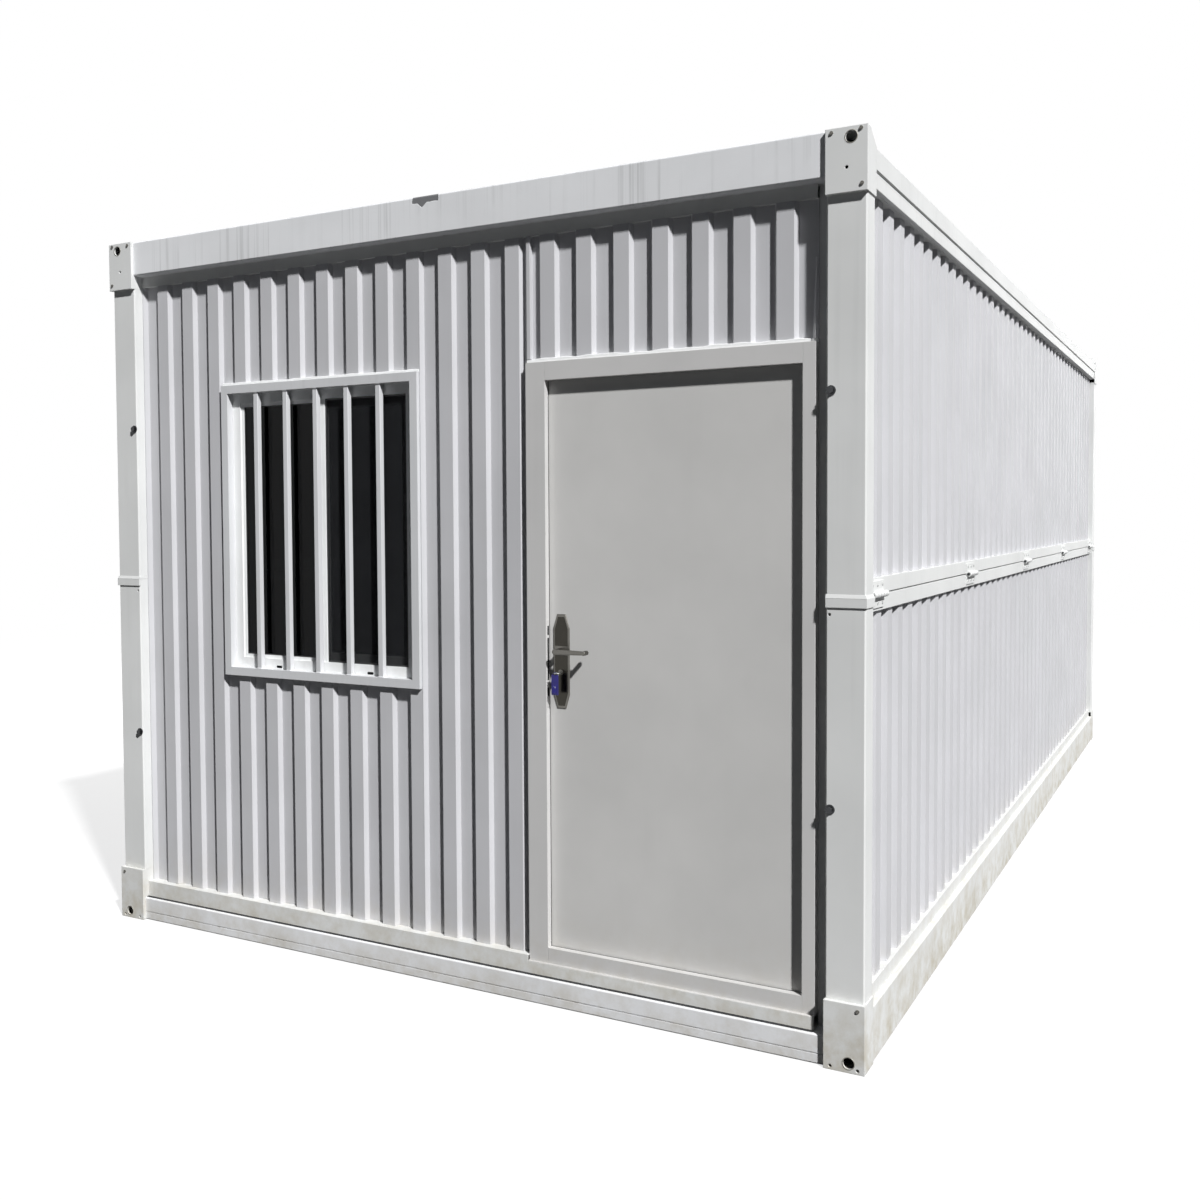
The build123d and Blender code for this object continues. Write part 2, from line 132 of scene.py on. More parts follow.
class FastenerSettings(bpy.types.PropertyGroup):
    washer: length("Washer", 29, "Diameter of the post bolts' washers")
    head: length("Bolt head", 20, "Size of the post bolts' heads over the corners")
    inset: length("Bolt inset", 14, "From the post's inner edge to the bolts")
    low_bolt: length("Low bolt", 750, "Height of the lower post bolts")
    high_bolt: length("High bolt", 1945, "Height of the upper post bolts")
    block_bolt: length("Block bolt", 11, "Diameter of the small bolts on the corner blocks")
    bore: length("Corner bore", 33, "Diameter of the corner blocks' bores")
    bore_rim: length("Worn rim", 2.4, "Width of the worn rim round a bore")


class DoorSettings(bpy.types.PropertyGroup):
    seal: length("Door seal", 7, "Width of the rubber that the leaf closes on")
    seal_depth: length("Seal depth", 4.6, "Depth of the rubber that the leaf closes on")
    bead: length("Sealant bead", 12, "Width of the sealant over the door frame")
    strike_width: length("Strike plate width", 16, "Width of the strike plate")
    strike_height: length("Strike plate height", 285, "Height of the strike plate")
    lever_return: length("Lever return", 29, "Length of the levers' ends that turn back to the leaf")
    lever_reach: length("Lever reach", 24, "From the leaf to the levers' turned ends")


class KeySettings(bpy.types.PropertyGroup):
    bow: length("Key bow", 24, "Width of the key's bow")
    ring: length("Key ring", 18, "Diameter of the key ring")
    wire: length("Ring wire", 1.8, "Thickness of the key ring's wire")
    tag_width: length("Tag width", 25, "Width of the key tag")
    tag_height: length("Tag height", 66, "Height of the key tag")
    tag_thickness: length("Tag thickness", 5, "Thickness of the key tag")


class StageSettings(bpy.types.PropertyGroup):
    eye: FloatVectorProperty(name="Camera", description="Where the camera stands",
                             default=(2.4216, -6.42, 1.596), unit="LENGTH")
    heading: FloatProperty(name="Heading", description="Camera's turn from the house's axis",
                           default=math.radians(29.157), subtype="ANGLE")
    pitch: FloatProperty(name="Pitch", description="Camera's tilt below the horizon",
                         default=math.radians(2.234), subtype="ANGLE")
    roll: FloatProperty(name="Roll", description="Camera's roll",
                        default=math.radians(-0.351), subtype="ANGLE")
    lens: FloatProperty(name="Lens", description="Focal length on a 36 mm sensor", default=36.97)
    shift: FloatVectorProperty(name="Shift", description="Lens shift of the framing", size=2,
                               default=(0.0354, -0.0303))
    sun: FloatProperty(name="Key", description="Strength of the key light", default=4.85)
    sky: colour("Sky", "#373A3E", "Light that comes from all round")
    ground: colour("Ground", "#484848", "Floor as the house's underside sees it")


def per_metre(millimetres):
    """The texture scale at which a pattern's features are about this size."""
    return 1000 / millimetres


def node(tree, kind, inputs=None, **settings):
    """Adds a node with its settings; an input is a value or the socket that feeds it."""
    made = tree.nodes.new(kind)
    for name, value in settings.items():
        setattr(made, name, value)
    for key, value in (inputs or {}).items():
        if isinstance(value, bpy.types.NodeSocket):
            tree.links.new(value, made.inputs[key])
        else:
            made.inputs[key].default_value = value
    return made


def start_material(name):
    """A new node material, its tree and its Object coordinates in metres."""
    material = bpy.data.materials.new(name)
    material.use_nodes = True
    material.node_tree.nodes.clear()
    place = node(material.node_tree, "ShaderNodeTexCoord").outputs["Object"]
    return material, material.node_tree, place


def end_material(material, **inputs):
    """Joins the shader to the output; underscores in the names stand for spaces."""
    tree = material.node_tree
    named = {key.replace("_", " "): value for key, value in inputs.items()}
    shader = node(tree, "ShaderNodeBsdfPrincipled", named)
    node(tree, "ShaderNodeOutputMaterial", {"Surface": shader.outputs[0]})
    return material


def rain_streaks(tree, place, width):
    """Long upright streaks of about this width in millimetres, 0 to 1."""
    run = node(tree, "ShaderNodeMapping", {
        "Vector": place, "Scale": (per_metre(width), per_metre(width), per_metre(1300))})
    lines = node(tree, "ShaderNodeTexNoise", {"Vector": run.outputs[0], "Scale": 1.0, "Detail": 4.0})
    strong = node(tree, "ShaderNodeMapRange", {
        "Value": lines.outputs["Fac"], 1: 0.52, 2: 0.75, 3: 0.0, 4: 1.0}).outputs[0]
    places = node(tree, "ShaderNodeTexNoise", {"Vector": place, "Scale": per_metre(330), "Detail": 3.0})
    patchy = node(tree, "ShaderNodeMapRange", {
        "Value": places.outputs["Fac"], 1: 0.44, 2: 0.62, 3: 0.12, 4: 1.0}).outputs[0]
    return node(tree, "ShaderNodeMath", {0: strong, 1: patchy}, operation="MULTIPLY").outputs[0]


def ground_dust(tree, place, height):
    """Dust that is thickest on the ground and gone at this height in millimetres, 0 to 1."""
    up = node(tree, "ShaderNodeSeparateXYZ", {0: place}).outputs["Z"]
    low = node(tree, "ShaderNodeMapRange", {"Value": up, 1: 0.0, 2: height * MM, 3: 1.0, 4: 0.0},
               interpolation_type="SMOOTHSTEP").outputs[0]
    flecks = node(tree, "ShaderNodeTexNoise", {
        "Vector": place, "Scale": per_metre(70), "Detail": 7.0, "Roughness": 0.65})
    patchy = node(tree, "ShaderNodeMapRange", {
        "Value": flecks.outputs["Fac"], 1: 0.38, 2: 0.66, 3: 0.1, 4: 1.0}).outputs[0]
    return node(tree, "ShaderNodeMath", {0: low, 1: patchy}, operation="MULTIPLY").outputs[0]


def edge_chips(tree, place, soft_normal):
    """Small chips where an edge is sharp, 0 to 1."""
    true_normal = node(tree, "ShaderNodeNewGeometry").outputs["Normal"]
    along = node(tree, "ShaderNodeVectorMath", {0: soft_normal, 1: true_normal}, operation="DOT_PRODUCT")
    edge = node(tree, "ShaderNodeMapRange", {
        "Value": along.outputs["Value"], 1: 0.97, 2: 0.8, 3: 0.0, 4: 1.0}).outputs[0]
    flakes = node(tree, "ShaderNodeTexNoise", {
        "Vector": place, "Scale": per_metre(45), "Detail": 6.0, "Roughness": 0.7})
    some = node(tree, "ShaderNodeMapRange", {
        "Value": flakes.outputs["Fac"], 1: 0.60, 2: 0.64, 3: 0.0, 4: 1.0}).outputs[0]
    return node(tree, "ShaderNodeMath", {0: edge, 1: some}, operation="MULTIPLY").outputs[0]


def weathered_paint(name, paint, roughness, edge=2.0, waves=0.0, streak_width=16, streaks=0.25,
                    dust=0.5, dust_height=260, chips=0.0, scar=None):
    """Factory paint in one of the colour settings: faint clouds, streaks, dust, soft edges and chips."""
    colours = bpy.context.scene.house_finishes
    material, tree, place = start_material(name)
    clouds = node(tree, "ShaderNodeTexNoise", {"Vector": place, "Scale": per_metre(380), "Detail": 5.0})
    cloudy = node(tree, "ShaderNodeMapRange", {
        "Value": clouds.outputs["Fac"], 1: 0.35, 2: 0.75, 3: 0.0, 4: 0.16}).outputs[0]
    rain = node(tree, "ShaderNodeMath", {0: rain_streaks(tree, place, streak_width), 1: streaks},
                operation="MULTIPLY").outputs[0]
    film = node(tree, "ShaderNodeMath", {0: cloudy, 1: rain}, operation="ADD", use_clamp=True).outputs[0]
    dusty = node(tree, "ShaderNodeMath", {0: ground_dust(tree, place, dust_height), 1: dust},
                 operation="MULTIPLY").outputs[0]
    tint = node(tree, "ShaderNodeMix", {
        0: film, 6: getattr(colours, paint), 7: colours.grime}, data_type="RGBA").outputs[2]
    tint = node(tree, "ShaderNodeMix", {0: dusty, 6: tint, 7: colours.dust}, data_type="RGBA").outputs[2]
    soft = node(tree, "ShaderNodeBevel", {"Radius": edge * MM}, samples=4).outputs[0]
    rough = node(tree, "ShaderNodeMapRange", {
        "Value": dusty, 1: 0.0, 2: 1.0, 3: roughness, 4: 0.85}).outputs[0]
    if chips:
        bare = node(tree, "ShaderNodeMath", {0: edge_chips(tree, place, soft), 1: chips},
                    operation="MULTIPLY").outputs[0]
        tint = node(tree, "ShaderNodeMix", {0: bare, 6: tint, 7: linear("#6B625A")},
                    data_type="RGBA").outputs[2]
    if scar:
        torn = scar(tree, place)
        tint = node(tree, "ShaderNodeMix", {0: torn, 6: tint, 7: linear("#57585A")},
                    data_type="RGBA").outputs[2]
        soft = node(tree, "ShaderNodeBump", {
            "Height": torn, "Strength": 1.0, "Distance": -2 * MM, "Normal": soft}).outputs[0]
    swell = node(tree, "ShaderNodeTexNoise", {"Vector": place, "Scale": per_metre(260), "Detail": 2.0})
    peel = node(tree, "ShaderNodeBump", {
        "Height": swell.outputs["Fac"], "Strength": 1.0, "Distance": waves * MM, "Normal": soft})
    return end_material(material, Base_Color=tint, Roughness=rough, Normal=peel.outputs[0],
                        Specular_IOR_Level=0.05)


def sheet_coating():
    """Coil-coated steel sheet: satin, a little wavy between its folds."""
    return weathered_paint("Coil-coated steel sheet", "sheet", 0.50, edge=2.5, waves=1.6,
                           streak_width=40, streaks=0.06, dust=0.25, dust_height=420)


def frame_enamel():
    """Sprayed alkyd enamel on hot-rolled steel: semi-gloss, with streaks and chipped edges."""
    return weathered_paint("Enamelled frame steel", "enamel", 0.48, edge=2.5, waves=0.8,
                           streak_width=34, streaks=0.08, dust=0.64, dust_height=300, chips=0.7)


def torn_edge(tree, place):
    """The torn spot at the top of the door end's roof rail, 0 to 1: a low patch with a pointed tail."""
    middle, half_long, tall, reach = 11 * MM, 52.5 * MM, 22 * MM, 30 * MM
    tail, tail_half, tail_tall = -13.5 * MM, 20 * MM, 37 * MM
    rough_long, rough_tall = 8 * MM, 9 * MM
    ragged = node(tree, "ShaderNodeTexNoise", {"Vector": place, "Scale": per_metre(22), "Detail": 5.0})
    at = node(tree, "ShaderNodeVectorMath", {
        0: ragged.outputs["Color"], 1: (rough_long, 0.0, rough_tall), 2: place},
        operation="MULTIPLY_ADD").outputs[0]
    at = node(tree, "ShaderNodeVectorMath", {0: at, 1: (middle, FRONT, TOP + rough_tall / 2)},
              operation="SUBTRACT").outputs[0]
    spot = node(tree, "ShaderNodeSeparateXYZ", {0: at}).outputs
    across = node(tree, "ShaderNodeMath", {0: spot["X"]}, operation="ABSOLUTE").outputs[0]
    from_tail = node(tree, "ShaderNodeMath", {0: spot["X"], 1: tail}, operation="SUBTRACT").outputs[0]
    from_tail = node(tree, "ShaderNodeMath", {0: from_tail}, operation="ABSOLUTE").outputs[0]
    depth = node(tree, "ShaderNodeMapRange", {
        "Value": from_tail, 1: 0.0, 2: tail_half, 3: tail_tall, 4: tall}).outputs[0]
    inside = node(tree, "ShaderNodeMath", {0: spot["Z"], 1: depth}, operation="ADD").outputs[0]
    torn = 0.85
    for value, outer, inner in ((inside, -1 * MM, 1 * MM), (across, half_long + 1 * MM, half_long - 1 * MM),
                                (spot["Y"], reach + 2 * MM, reach - 2 * MM)):
        share = node(tree, "ShaderNodeMapRange", {
            "Value": value, 1: outer, 2: inner, 3: 0.0, 4: 1.0}).outputs[0]
        torn = node(tree, "ShaderNodeMath", {0: share, 1: torn}, operation="MULTIPLY").outputs[0]
    return torn


def roof_rail_enamel():
    """Newer enamel on the roof's end rails, with rain streaks and one torn spot."""
    return weathered_paint("Enamelled roof rail", "rail", 0.46, edge=4.0, waves=0.8,
                           streak_width=14, streaks=0.38, chips=1.0, scar=torn_edge)


def base_rail_enamel():
    """The same newer enamel on the base's end rails, dusty and scuffed near the ground."""
    return weathered_paint("Enamelled base rail", "rail", 0.48, edge=2.5, waves=0.8,
                           streak_width=40, streaks=0.08, dust=0.45, dust_height=150, chips=0.8)


def door_coating():
    """Powder-coated steel leaf: satin, flat, with faint hand marks."""
    return weathered_paint("Powder-coated door steel", "door", 0.40, edge=2.0, waves=1.1,
                           streak_width=90, streaks=0.03, dust=0.2, dust_height=420)


def door_frame_coating():
    """Powder-coated folded steel round the door."""
    return weathered_paint("Powder-coated door frame", "door_frame", 0.38, edge=2.5, waves=0.4,
                           streak_width=50, streaks=0.05, dust=0.3, dust_height=330, chips=0.5)


def guard_enamel():
    """Brushed enamel on the window guard's welded tubes: glossy, chipped at the welds."""
    return weathered_paint("Enamelled guard steel", "guard", 0.30, edge=1.6, waves=0.4,
                           streaks=0.12, dust=0.0, chips=0.5)


def window_coating():
    """Gloss coat on the window's drawn aluminium."""
    return weathered_paint("Gloss-coated aluminium", "window", 0.28, edge=1.2, waves=0.2,
                           streaks=0.06, dust=0.0)


def roof_coating():
    """Coil-coated roof sheet, dull from weather."""
    return weathered_paint("Coil-coated roof sheet", "roof", 0.5, edge=2.5, waves=1.6,
                           streak_width=60, streaks=0.3, dust=0.0)


def lining_paint():
    """Factory-painted ceiling board: matt and even."""
    return weathered_paint("Painted ceiling board", "lining", 0.55, edge=1.0, waves=0.6,
                           streaks=0.0, dust=0.0)


def sealed_board():
    """Sealed cement board floor: mottled, with joints every 1220 by 2440 mm."""
    colours = bpy.context.scene.house_finishes
    material, tree, place = start_material("Sealed floor board")
    fibres = node(tree, "ShaderNodeTexNoise", {
        "Vector": place, "Scale": per_metre(90), "Detail": 8.0, "Roughness": 0.7})
    joints = node(tree, "ShaderNodeTexBrick", {
        "Vector": place, "Scale": 1.0, "Mortar Size": 0.003, "Mortar Smooth": 0.2, "Bias": 0.0,
        "Brick Width": 2.44, "Row Height": 1.22, "Color1": (1, 1, 1, 1), "Color2": (0.9, 0.9, 0.9, 1),
        "Mortar": (0.12, 0.11, 0.1, 1)}, offset=0.5)
    tone = node(tree, "ShaderNodeMix", {
        0: fibres.outputs["Fac"], 6: colours.board, 7: linear("#6E6050")}, data_type="RGBA")
    tint = node(tree, "ShaderNodeMix", {
        0: 1.0, 6: tone.outputs[2], 7: joints.outputs["Color"]}, data_type="RGBA", blend_type="MULTIPLY")
    relief = node(tree, "ShaderNodeBump", {
        "Height": joints.outputs["Fac"], "Strength": 0.6, "Distance": -1.5 * MM})
    return end_material(material, Base_Color=tint.outputs[2], Roughness=0.5, Normal=relief.outputs[0])


def galvanised_steel():
    """Hot-dip galvanised steel: dull metal with spangles about 14 mm wide."""
    material, tree, place = start_material("Galvanised steel")
    spangle = node(tree, "ShaderNodeTexVoronoi", {"Vector": place, "Scale": per_metre(14)})
    tint = node(tree, "ShaderNodeMix", {
        0: spangle.outputs["Color"], 6: linear("#8C9093"), 7: linear("#B5B9BB")}, data_type="RGBA")
    rough = node(tree, "ShaderNodeMapRange", {"Value": spangle.outputs["Distance"], 3: 0.35, 4: 0.55})
    return end_material(material, Base_Color=tint.outputs[2], Metallic=1.0, Roughness=rough.outputs[0])


def brushed_metal(name, tint, roughness, grit=1.5, direction=(1, 1, 12)):
    """A metal with fine lines, drawn coarser than the real ones so that they show."""
    material, tree, place = start_material(name)
    run = node(tree, "ShaderNodeMapping", {
        "Vector": place, "Scale": [per_metre(grit * spread) for spread in direction]})
    lines = node(tree, "ShaderNodeTexNoise", {"Vector": run.outputs[0], "Scale": 1.0, "Detail": 3.0})
    rough = node(tree, "ShaderNodeMapRange", {
        "Value": lines.outputs["Fac"], 3: roughness * 0.8, 4: roughness * 1.3})
    shade = node(tree, "ShaderNodeMix", {
        0: lines.outputs["Fac"], 6: tint, 7: [c * 0.7 for c in tint[:3]] + [1.0]}, data_type="RGBA")
    soft = node(tree, "ShaderNodeBevel", {"Radius": 0.6 * MM}, samples=4)
    relief = node(tree, "ShaderNodeBump", {
        "Height": lines.outputs["Fac"], "Strength": 0.15, "Distance": 0.1 * MM, "Normal": soft.outputs[0]})
    return end_material(material, Base_Color=shade.outputs[2], Metallic=1.0, Roughness=rough.outputs[0],
                        Normal=relief.outputs[0])


def zinc_plate():
    """Bright zinc plate on pressed steel."""
    return brushed_metal("Zinc-plated steel", linear("#B9BBBA"), 0.32)


def lock_metal_painted_reflection():
    """Polished stainless steel of the lock's raised panels, its colour darkened as a painted reflection of
    dark surroundings.
    """
    return brushed_metal("Polished steel with painted dark reflections", tuple(bpy.context.scene.house_finishes.lock), 0.2)


def satin_steel():
    """Satin stainless steel of the lock's rim and levers."""
    return brushed_metal("Satin stainless steel", linear("#777570"), 0.34)


def worn_steel():
    """Bare steel where pins and slings have rubbed the paint away."""
    return brushed_metal("Worn bare steel", linear("#8F8D86"), 0.45)


def dark_bolt_steel():
    """Black-oxide bolt steel with a dull rim."""
    return brushed_metal("Black-oxide bolt steel", linear("#4A4B4D"), 0.42)


def float_glass():
    """Tinted float glass in front of an unlit room: dark, its reflection fainter than plain glass gives."""
    material, tree, place = start_material("Float glass")
    film = node(tree, "ShaderNodeTexNoise", {"Vector": place, "Scale": per_metre(160), "Detail": 5.0})
    rough = node(tree, "ShaderNodeMapRange", {"Value": film.outputs["Fac"], 1: 0.3, 2: 0.8, 3: 0.01, 4: 0.05})
    return end_material(material, Base_Color=linear("#39424A"), Roughness=rough.outputs[0],
                        Transmission_Weight=1.0, IOR=1.22, Specular_IOR_Level=0.12)


def grained(name, size, detail, tints, strength=0.0, depth=0.0, **shader):
    """A material of two tints in a grain of this size, with relief of this depth, both in millimetres."""
    material, tree, place = start_material(name)
    grain = node(tree, "ShaderNodeTexNoise", {"Vector": place, "Scale": per_metre(size), "Detail": detail})
    tint = node(tree, "ShaderNodeMix", {
        0: grain.outputs["Fac"], 6: linear(tints[0]), 7: linear(tints[1])}, data_type="RGBA")
    if depth:
        shader["Normal"] = node(tree, "ShaderNodeBump", {
            "Height": grain.outputs["Fac"], "Strength": strength, "Distance": depth * MM}).outputs[0]
    return end_material(material, Base_Color=tint.outputs[2], **shader)


def woven_screen():
    """Glass-fibre insect mesh: grey-black threads so fine that they read as a dark veil."""
    return grained("Woven fly screen", 120, 3.0, ("#1B1C1E", "#2A2B2D"), 0.4, 1.0, Roughness=0.8,
                   Specular_IOR_Level=0.1, Alpha=0.6)


def soft_rubber():
    """Extruded EPDM rubber: near black and matt, with a fine grain."""
    return grained("Extruded rubber", 4, 4.0, ("#151617", "#2B2C2E"), 0.3, 0.3, Roughness=0.62)


def open_hole():
    """The unlit inside of a slot or hole: dull and nearly black."""
    return grained("Shadowed steel inside", 6, 3.0, ("#0C0C0D", "#1B1B1C"), Roughness=0.9,
                   Specular_IOR_Level=0.1)


def silicone():
    """Gunned silicone sealant: white and smooth, with a tooled, uneven edge."""
    return grained("Silicone sealant", 25, 4.0, ("#FBFCFC", "#E9EAEA"), 0.5, 1.5, Roughness=0.35)


def paper_card():
    """Blank dyed card in the tag: blue and matt, with pale spots painted on as highlights."""
    material, tree, place = start_material("Dyed card")
    fibres = node(tree, "ShaderNodeTexNoise", {"Vector": place, "Scale": per_metre(3), "Detail": 5.0})
    tint = node(tree, "ShaderNodeMix", {
        0: fibres.outputs["Fac"], 6: linear("#1A1768"), 7: linear("#2E2B86")}, data_type="RGBA").outputs[2]
    # pale bluish spots on the card: painted highlights
    spots = node(tree, "ShaderNodeTexNoise", {"Vector": place, "Scale": per_metre(5), "Detail": 2.0})
    highlight_mask = node(tree, "ShaderNodeMapRange", {"Value": spots.outputs["Fac"], 1: 0.62, 2: 0.66, 3: 0.0, 4: 0.7})
    tint = node(tree, "ShaderNodeMix", {
        0: highlight_mask.outputs[0], 6: tint, 7: linear("#B9BBD6")}, data_type="RGBA").outputs[2]
    return end_material(material, Base_Color=tint, Roughness=0.8)


def tag_plastic():
    """Moulded polypropylene: saturated, semi-gloss, lightly scuffed."""
    material, tree, place = start_material("Moulded polypropylene")
    scuffs = node(tree, "ShaderNodeTexNoise", {"Vector": place, "Scale": per_metre(5), "Detail": 6.0})
    rough = node(tree, "ShaderNodeMapRange", {"Value": scuffs.outputs["Fac"], 3: 0.25, 4: 0.5})
    tint = node(tree, "ShaderNodeMix", {
        0: scuffs.outputs["Fac"], 6: bpy.context.scene.house_finishes.tag, 7: linear("#211D74")},
        data_type="RGBA")
    return end_material(material, Base_Color=tint.outputs[2], Roughness=rough.outputs[0])


FINISHES = {
    "painted_frame": frame_enamel, "roof_rail": roof_rail_enamel, "base_rail": base_rail_enamel,
    "ribbed_sheet": sheet_coating, "guard": guard_enamel, "screen": woven_screen,
    "roof_sheet": roof_coating, "ceiling": lining_paint, "floor_board": sealed_board,
    "joist_steel": galvanised_steel, "door_paint": door_coating, "door_frame_paint": door_frame_coating,
    "hinge_steel": zinc_plate, "lock_steel": lock_metal_painted_reflection, "window_paint": window_coating,
    "window_glass": float_glass, "worn_steel": worn_steel, "bolt_steel": dark_bolt_steel,
    "rubber": soft_rubber, "hole": open_hole, "sealant": silicone, "tag": tag_plastic,
    "card": paper_card, "satin_steel": satin_steel,
}
made_finishes = {}


def finish(name):
    """The material of this finish, made the first time it is asked for."""
    if name not in made_finishes:
        made_finishes[name] = FINISHES[name]()
    return made_finishes[name]


def round_edges(bm, edges, size, segments=2):
    """Rounds edges off over this size."""
    bmesh.ops.bevel(bm, geom=edges, offset=size, segments=segments, affect="EDGES", profile=0.5,
                    material=-1)


def add_block(bm, low, high, edge=0.0, segments=2):
    """Adds a block between two corners, with its edges rounded."""
    low, high = Vector(low), Vector(high)
    made = bmesh.ops.create_cube(bm, size=1.0)["verts"]
    bmesh.ops.scale(bm, vec=high - low, verts=made)
    bmesh.ops.translate(bm, vec=(low + high) / 2, verts=made)
    if edge:
        round_edges(bm, list({e for v in made for e in v.link_edges}), edge, segments)


def add_frame(bm, low, high, wide, edge):
    """Adds four bars of one width that make an upright frame between two outer corners."""
    (x0, y0, z0), (x1, y1, z1) = low, high
    for z in (z0, z1 - wide):
        add_block(bm, (x0, y0, z), (x1, y1, z + wide), edge)
    for x in (x0, x1 - wide):
        add_block(bm, (x, y0, z0 + wide), (x + wide, y1, z1 - wide), edge)


def add_round(bm, centre, axis, radius, thickness, sides=24, edge=0.0):
    """Adds a round or many-sided disc centred on a point, its rims bevelled."""
    turn = Vector((0, 0, 1)).rotation_difference(Vector(axis)).to_matrix().to_4x4()
    made = bmesh.ops.create_cone(bm, cap_ends=True, cap_tris=False, segments=sides, radius1=radius,
                                 radius2=radius, depth=thickness,
                                 matrix=Matrix.Translation(centre) @ turn)["verts"]
    if edge:
        caps = {f for v in made for f in v.link_faces if len(f.verts) == sides}
        round_edges(bm, list({e for f in caps for e in f.edges}), edge)


def add_ring(bm, centre, axis, radius, section, steps=28, sides=20):
    """Adds a closed ring of round section about an axis through the centre."""
    centre, axis = Vector(centre), Vector(axis).normalized()
    out = axis.orthogonal().normalized()
    turn = Matrix((out, axis, out.cross(axis))).transposed().to_4x4()
    made = bmesh.ops.create_circle(bm, segments=sides, radius=section,
                                   matrix=Matrix.Translation(centre + out * radius) @ turn)["verts"]
    loop = made + list({e for v in made for e in v.link_edges})
    bmesh.ops.spin(bm, geom=loop, cent=centre, axis=axis, angle=2 * math.pi, steps=steps, use_merge=True)


def wavy_above(level, size):
    """A shift for points above this level: up and down along X, as by hand, by up to about this size."""
    def shift(point):
        x, high = point.x, point.z > level
        waves = math.sin(x * 31) + math.sin(x * 73 + 1.7) + math.sin(x * 12.7 + 0.6)
        return Vector((0, 0, size * waves / 3 if high else 0))
    return shift


def uneven_strip(low, high, cuts, axis, shift, edge):
    """A bmesh of one block cut across along an axis, its points moved by shift(point)."""
    bm = bmesh.new()
    add_block(bm, low, high)
    for rounded in (True, False):
        along = [e for e in bm.edges if abs(e.verts[0].co[axis] - e.verts[1].co[axis]) > edge]
        if rounded:
            round_edges(bm, along, edge)
        else:
            bmesh.ops.subdivide_edges(bm, edges=along, cuts=cuts, use_grid_fill=True)
    for v in bm.verts:
        v.co += shift(v.co)
    return bm


def new_piece(name, bm, material, body="house"):
    """Turns a bmesh into a named piece that rides on a body."""
    bmesh.ops.remove_doubles(bm, verts=bm.verts, dist=0.01 * MM)
    bmesh.ops.recalc_face_normals(bm, faces=bm.faces)
    mesh = bpy.data.meshes.new(name)
    bm.to_mesh(mesh)
    bm.free()
    mesh.shade_smooth()
    mesh.set_sharp_from_angle(angle=SHARP_ANGLE)
    mesh.materials.append(material)
    piece = bpy.data.objects.new(name, mesh)
    bpy.context.scene.collection.objects.link(piece)
    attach(piece, body)
    return piece


class HOUSE_OT_finishes(bpy.types.Operator):
    """Gives every solid of the house the finish of its material slot"""
    bl_idname = "house.finishes"
    bl_label = "Finishes"

    def execute(self, context):
        special = {"roof_end_rails": "roof_rail", "base_end_rails": "base_rail", "lock_plates": "satin_steel",
                   "door_lever": "satin_steel",
                   "window_guard_stiles": "guard", "window_guard_rails": "guard"}
        for entry in frame["record"]["subparts"]:
            solid = frame["nodes"][entry["node"]]
            material = finish(special.get(entry["node"], entry["material_slot"]))
            for at in range(len(solid.material_slots)):
                solid.material_slots[at].material = material
        return {"FINISHED"}


class HOUSE_OT_window_bars(bpy.types.Operator):
    """Makes the window guard's square bars and the welds at their ends"""
    bl_idname = "house.window_bars"
    bl_label = "Window bars"

    def execute(self, context):
        window = context.scene.house_window
        low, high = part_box("window_guard_rails")
        half = window.bar_size / 2
        y = low.y + window.bar_setback + half
        bottom, top = low.z + window.guard_face, high.z - window.guard_face
        bars, welds = bmesh.new(), bmesh.new()
        for n in range(window.bar_count):
            x = (low.x + high.x) / 2 + (n - (window.bar_count - 1) / 2) * window.bar_pitch
            add_block(bars, (x - half, y - half, bottom - 2 * MM), (x + half, y + half, top + 2 * MM),
                      1.5 * MM)
            for z in (bottom, top):
                wide = half + 3 * MM
                add_block(welds, (x - wide, y - wide, z - 3 * MM), (x + wide, y + wide, z + 3 * MM),
                          2.6 * MM, 3)
        new_piece("window_bars", bars, finish("guard"))
        new_piece("window_bar_welds", welds, finish("guard"))
        bead = uneven_strip((low.x - 1 * MM, RIB_FACE - 3 * MM, high.z - 1 * MM),
                            (high.x + 1 * MM, RIB_FACE + 22 * MM, high.z + window.sealant), 60, 0,
                            wavy_above(high.z + 2 * MM, 2 * MM), 2.5 * MM)
        new_piece("guard_sealant", bead, finish("sealant"))
        return {"FINISHED"}


def panes():
    """The corners of each window pane, the outer one first."""
    points = [v.co for v in frame["nodes"]["window_glass"].data.vertices]
    middle = (min(p.y for p in points) + max(p.y for p in points)) / 2
    for group in ([p for p in points if p.y < middle], [p for p in points if p.y > middle]):
        yield [Vector([pick(p[axis] for p in group) for axis in range(3)]) for pick in (min, max)]


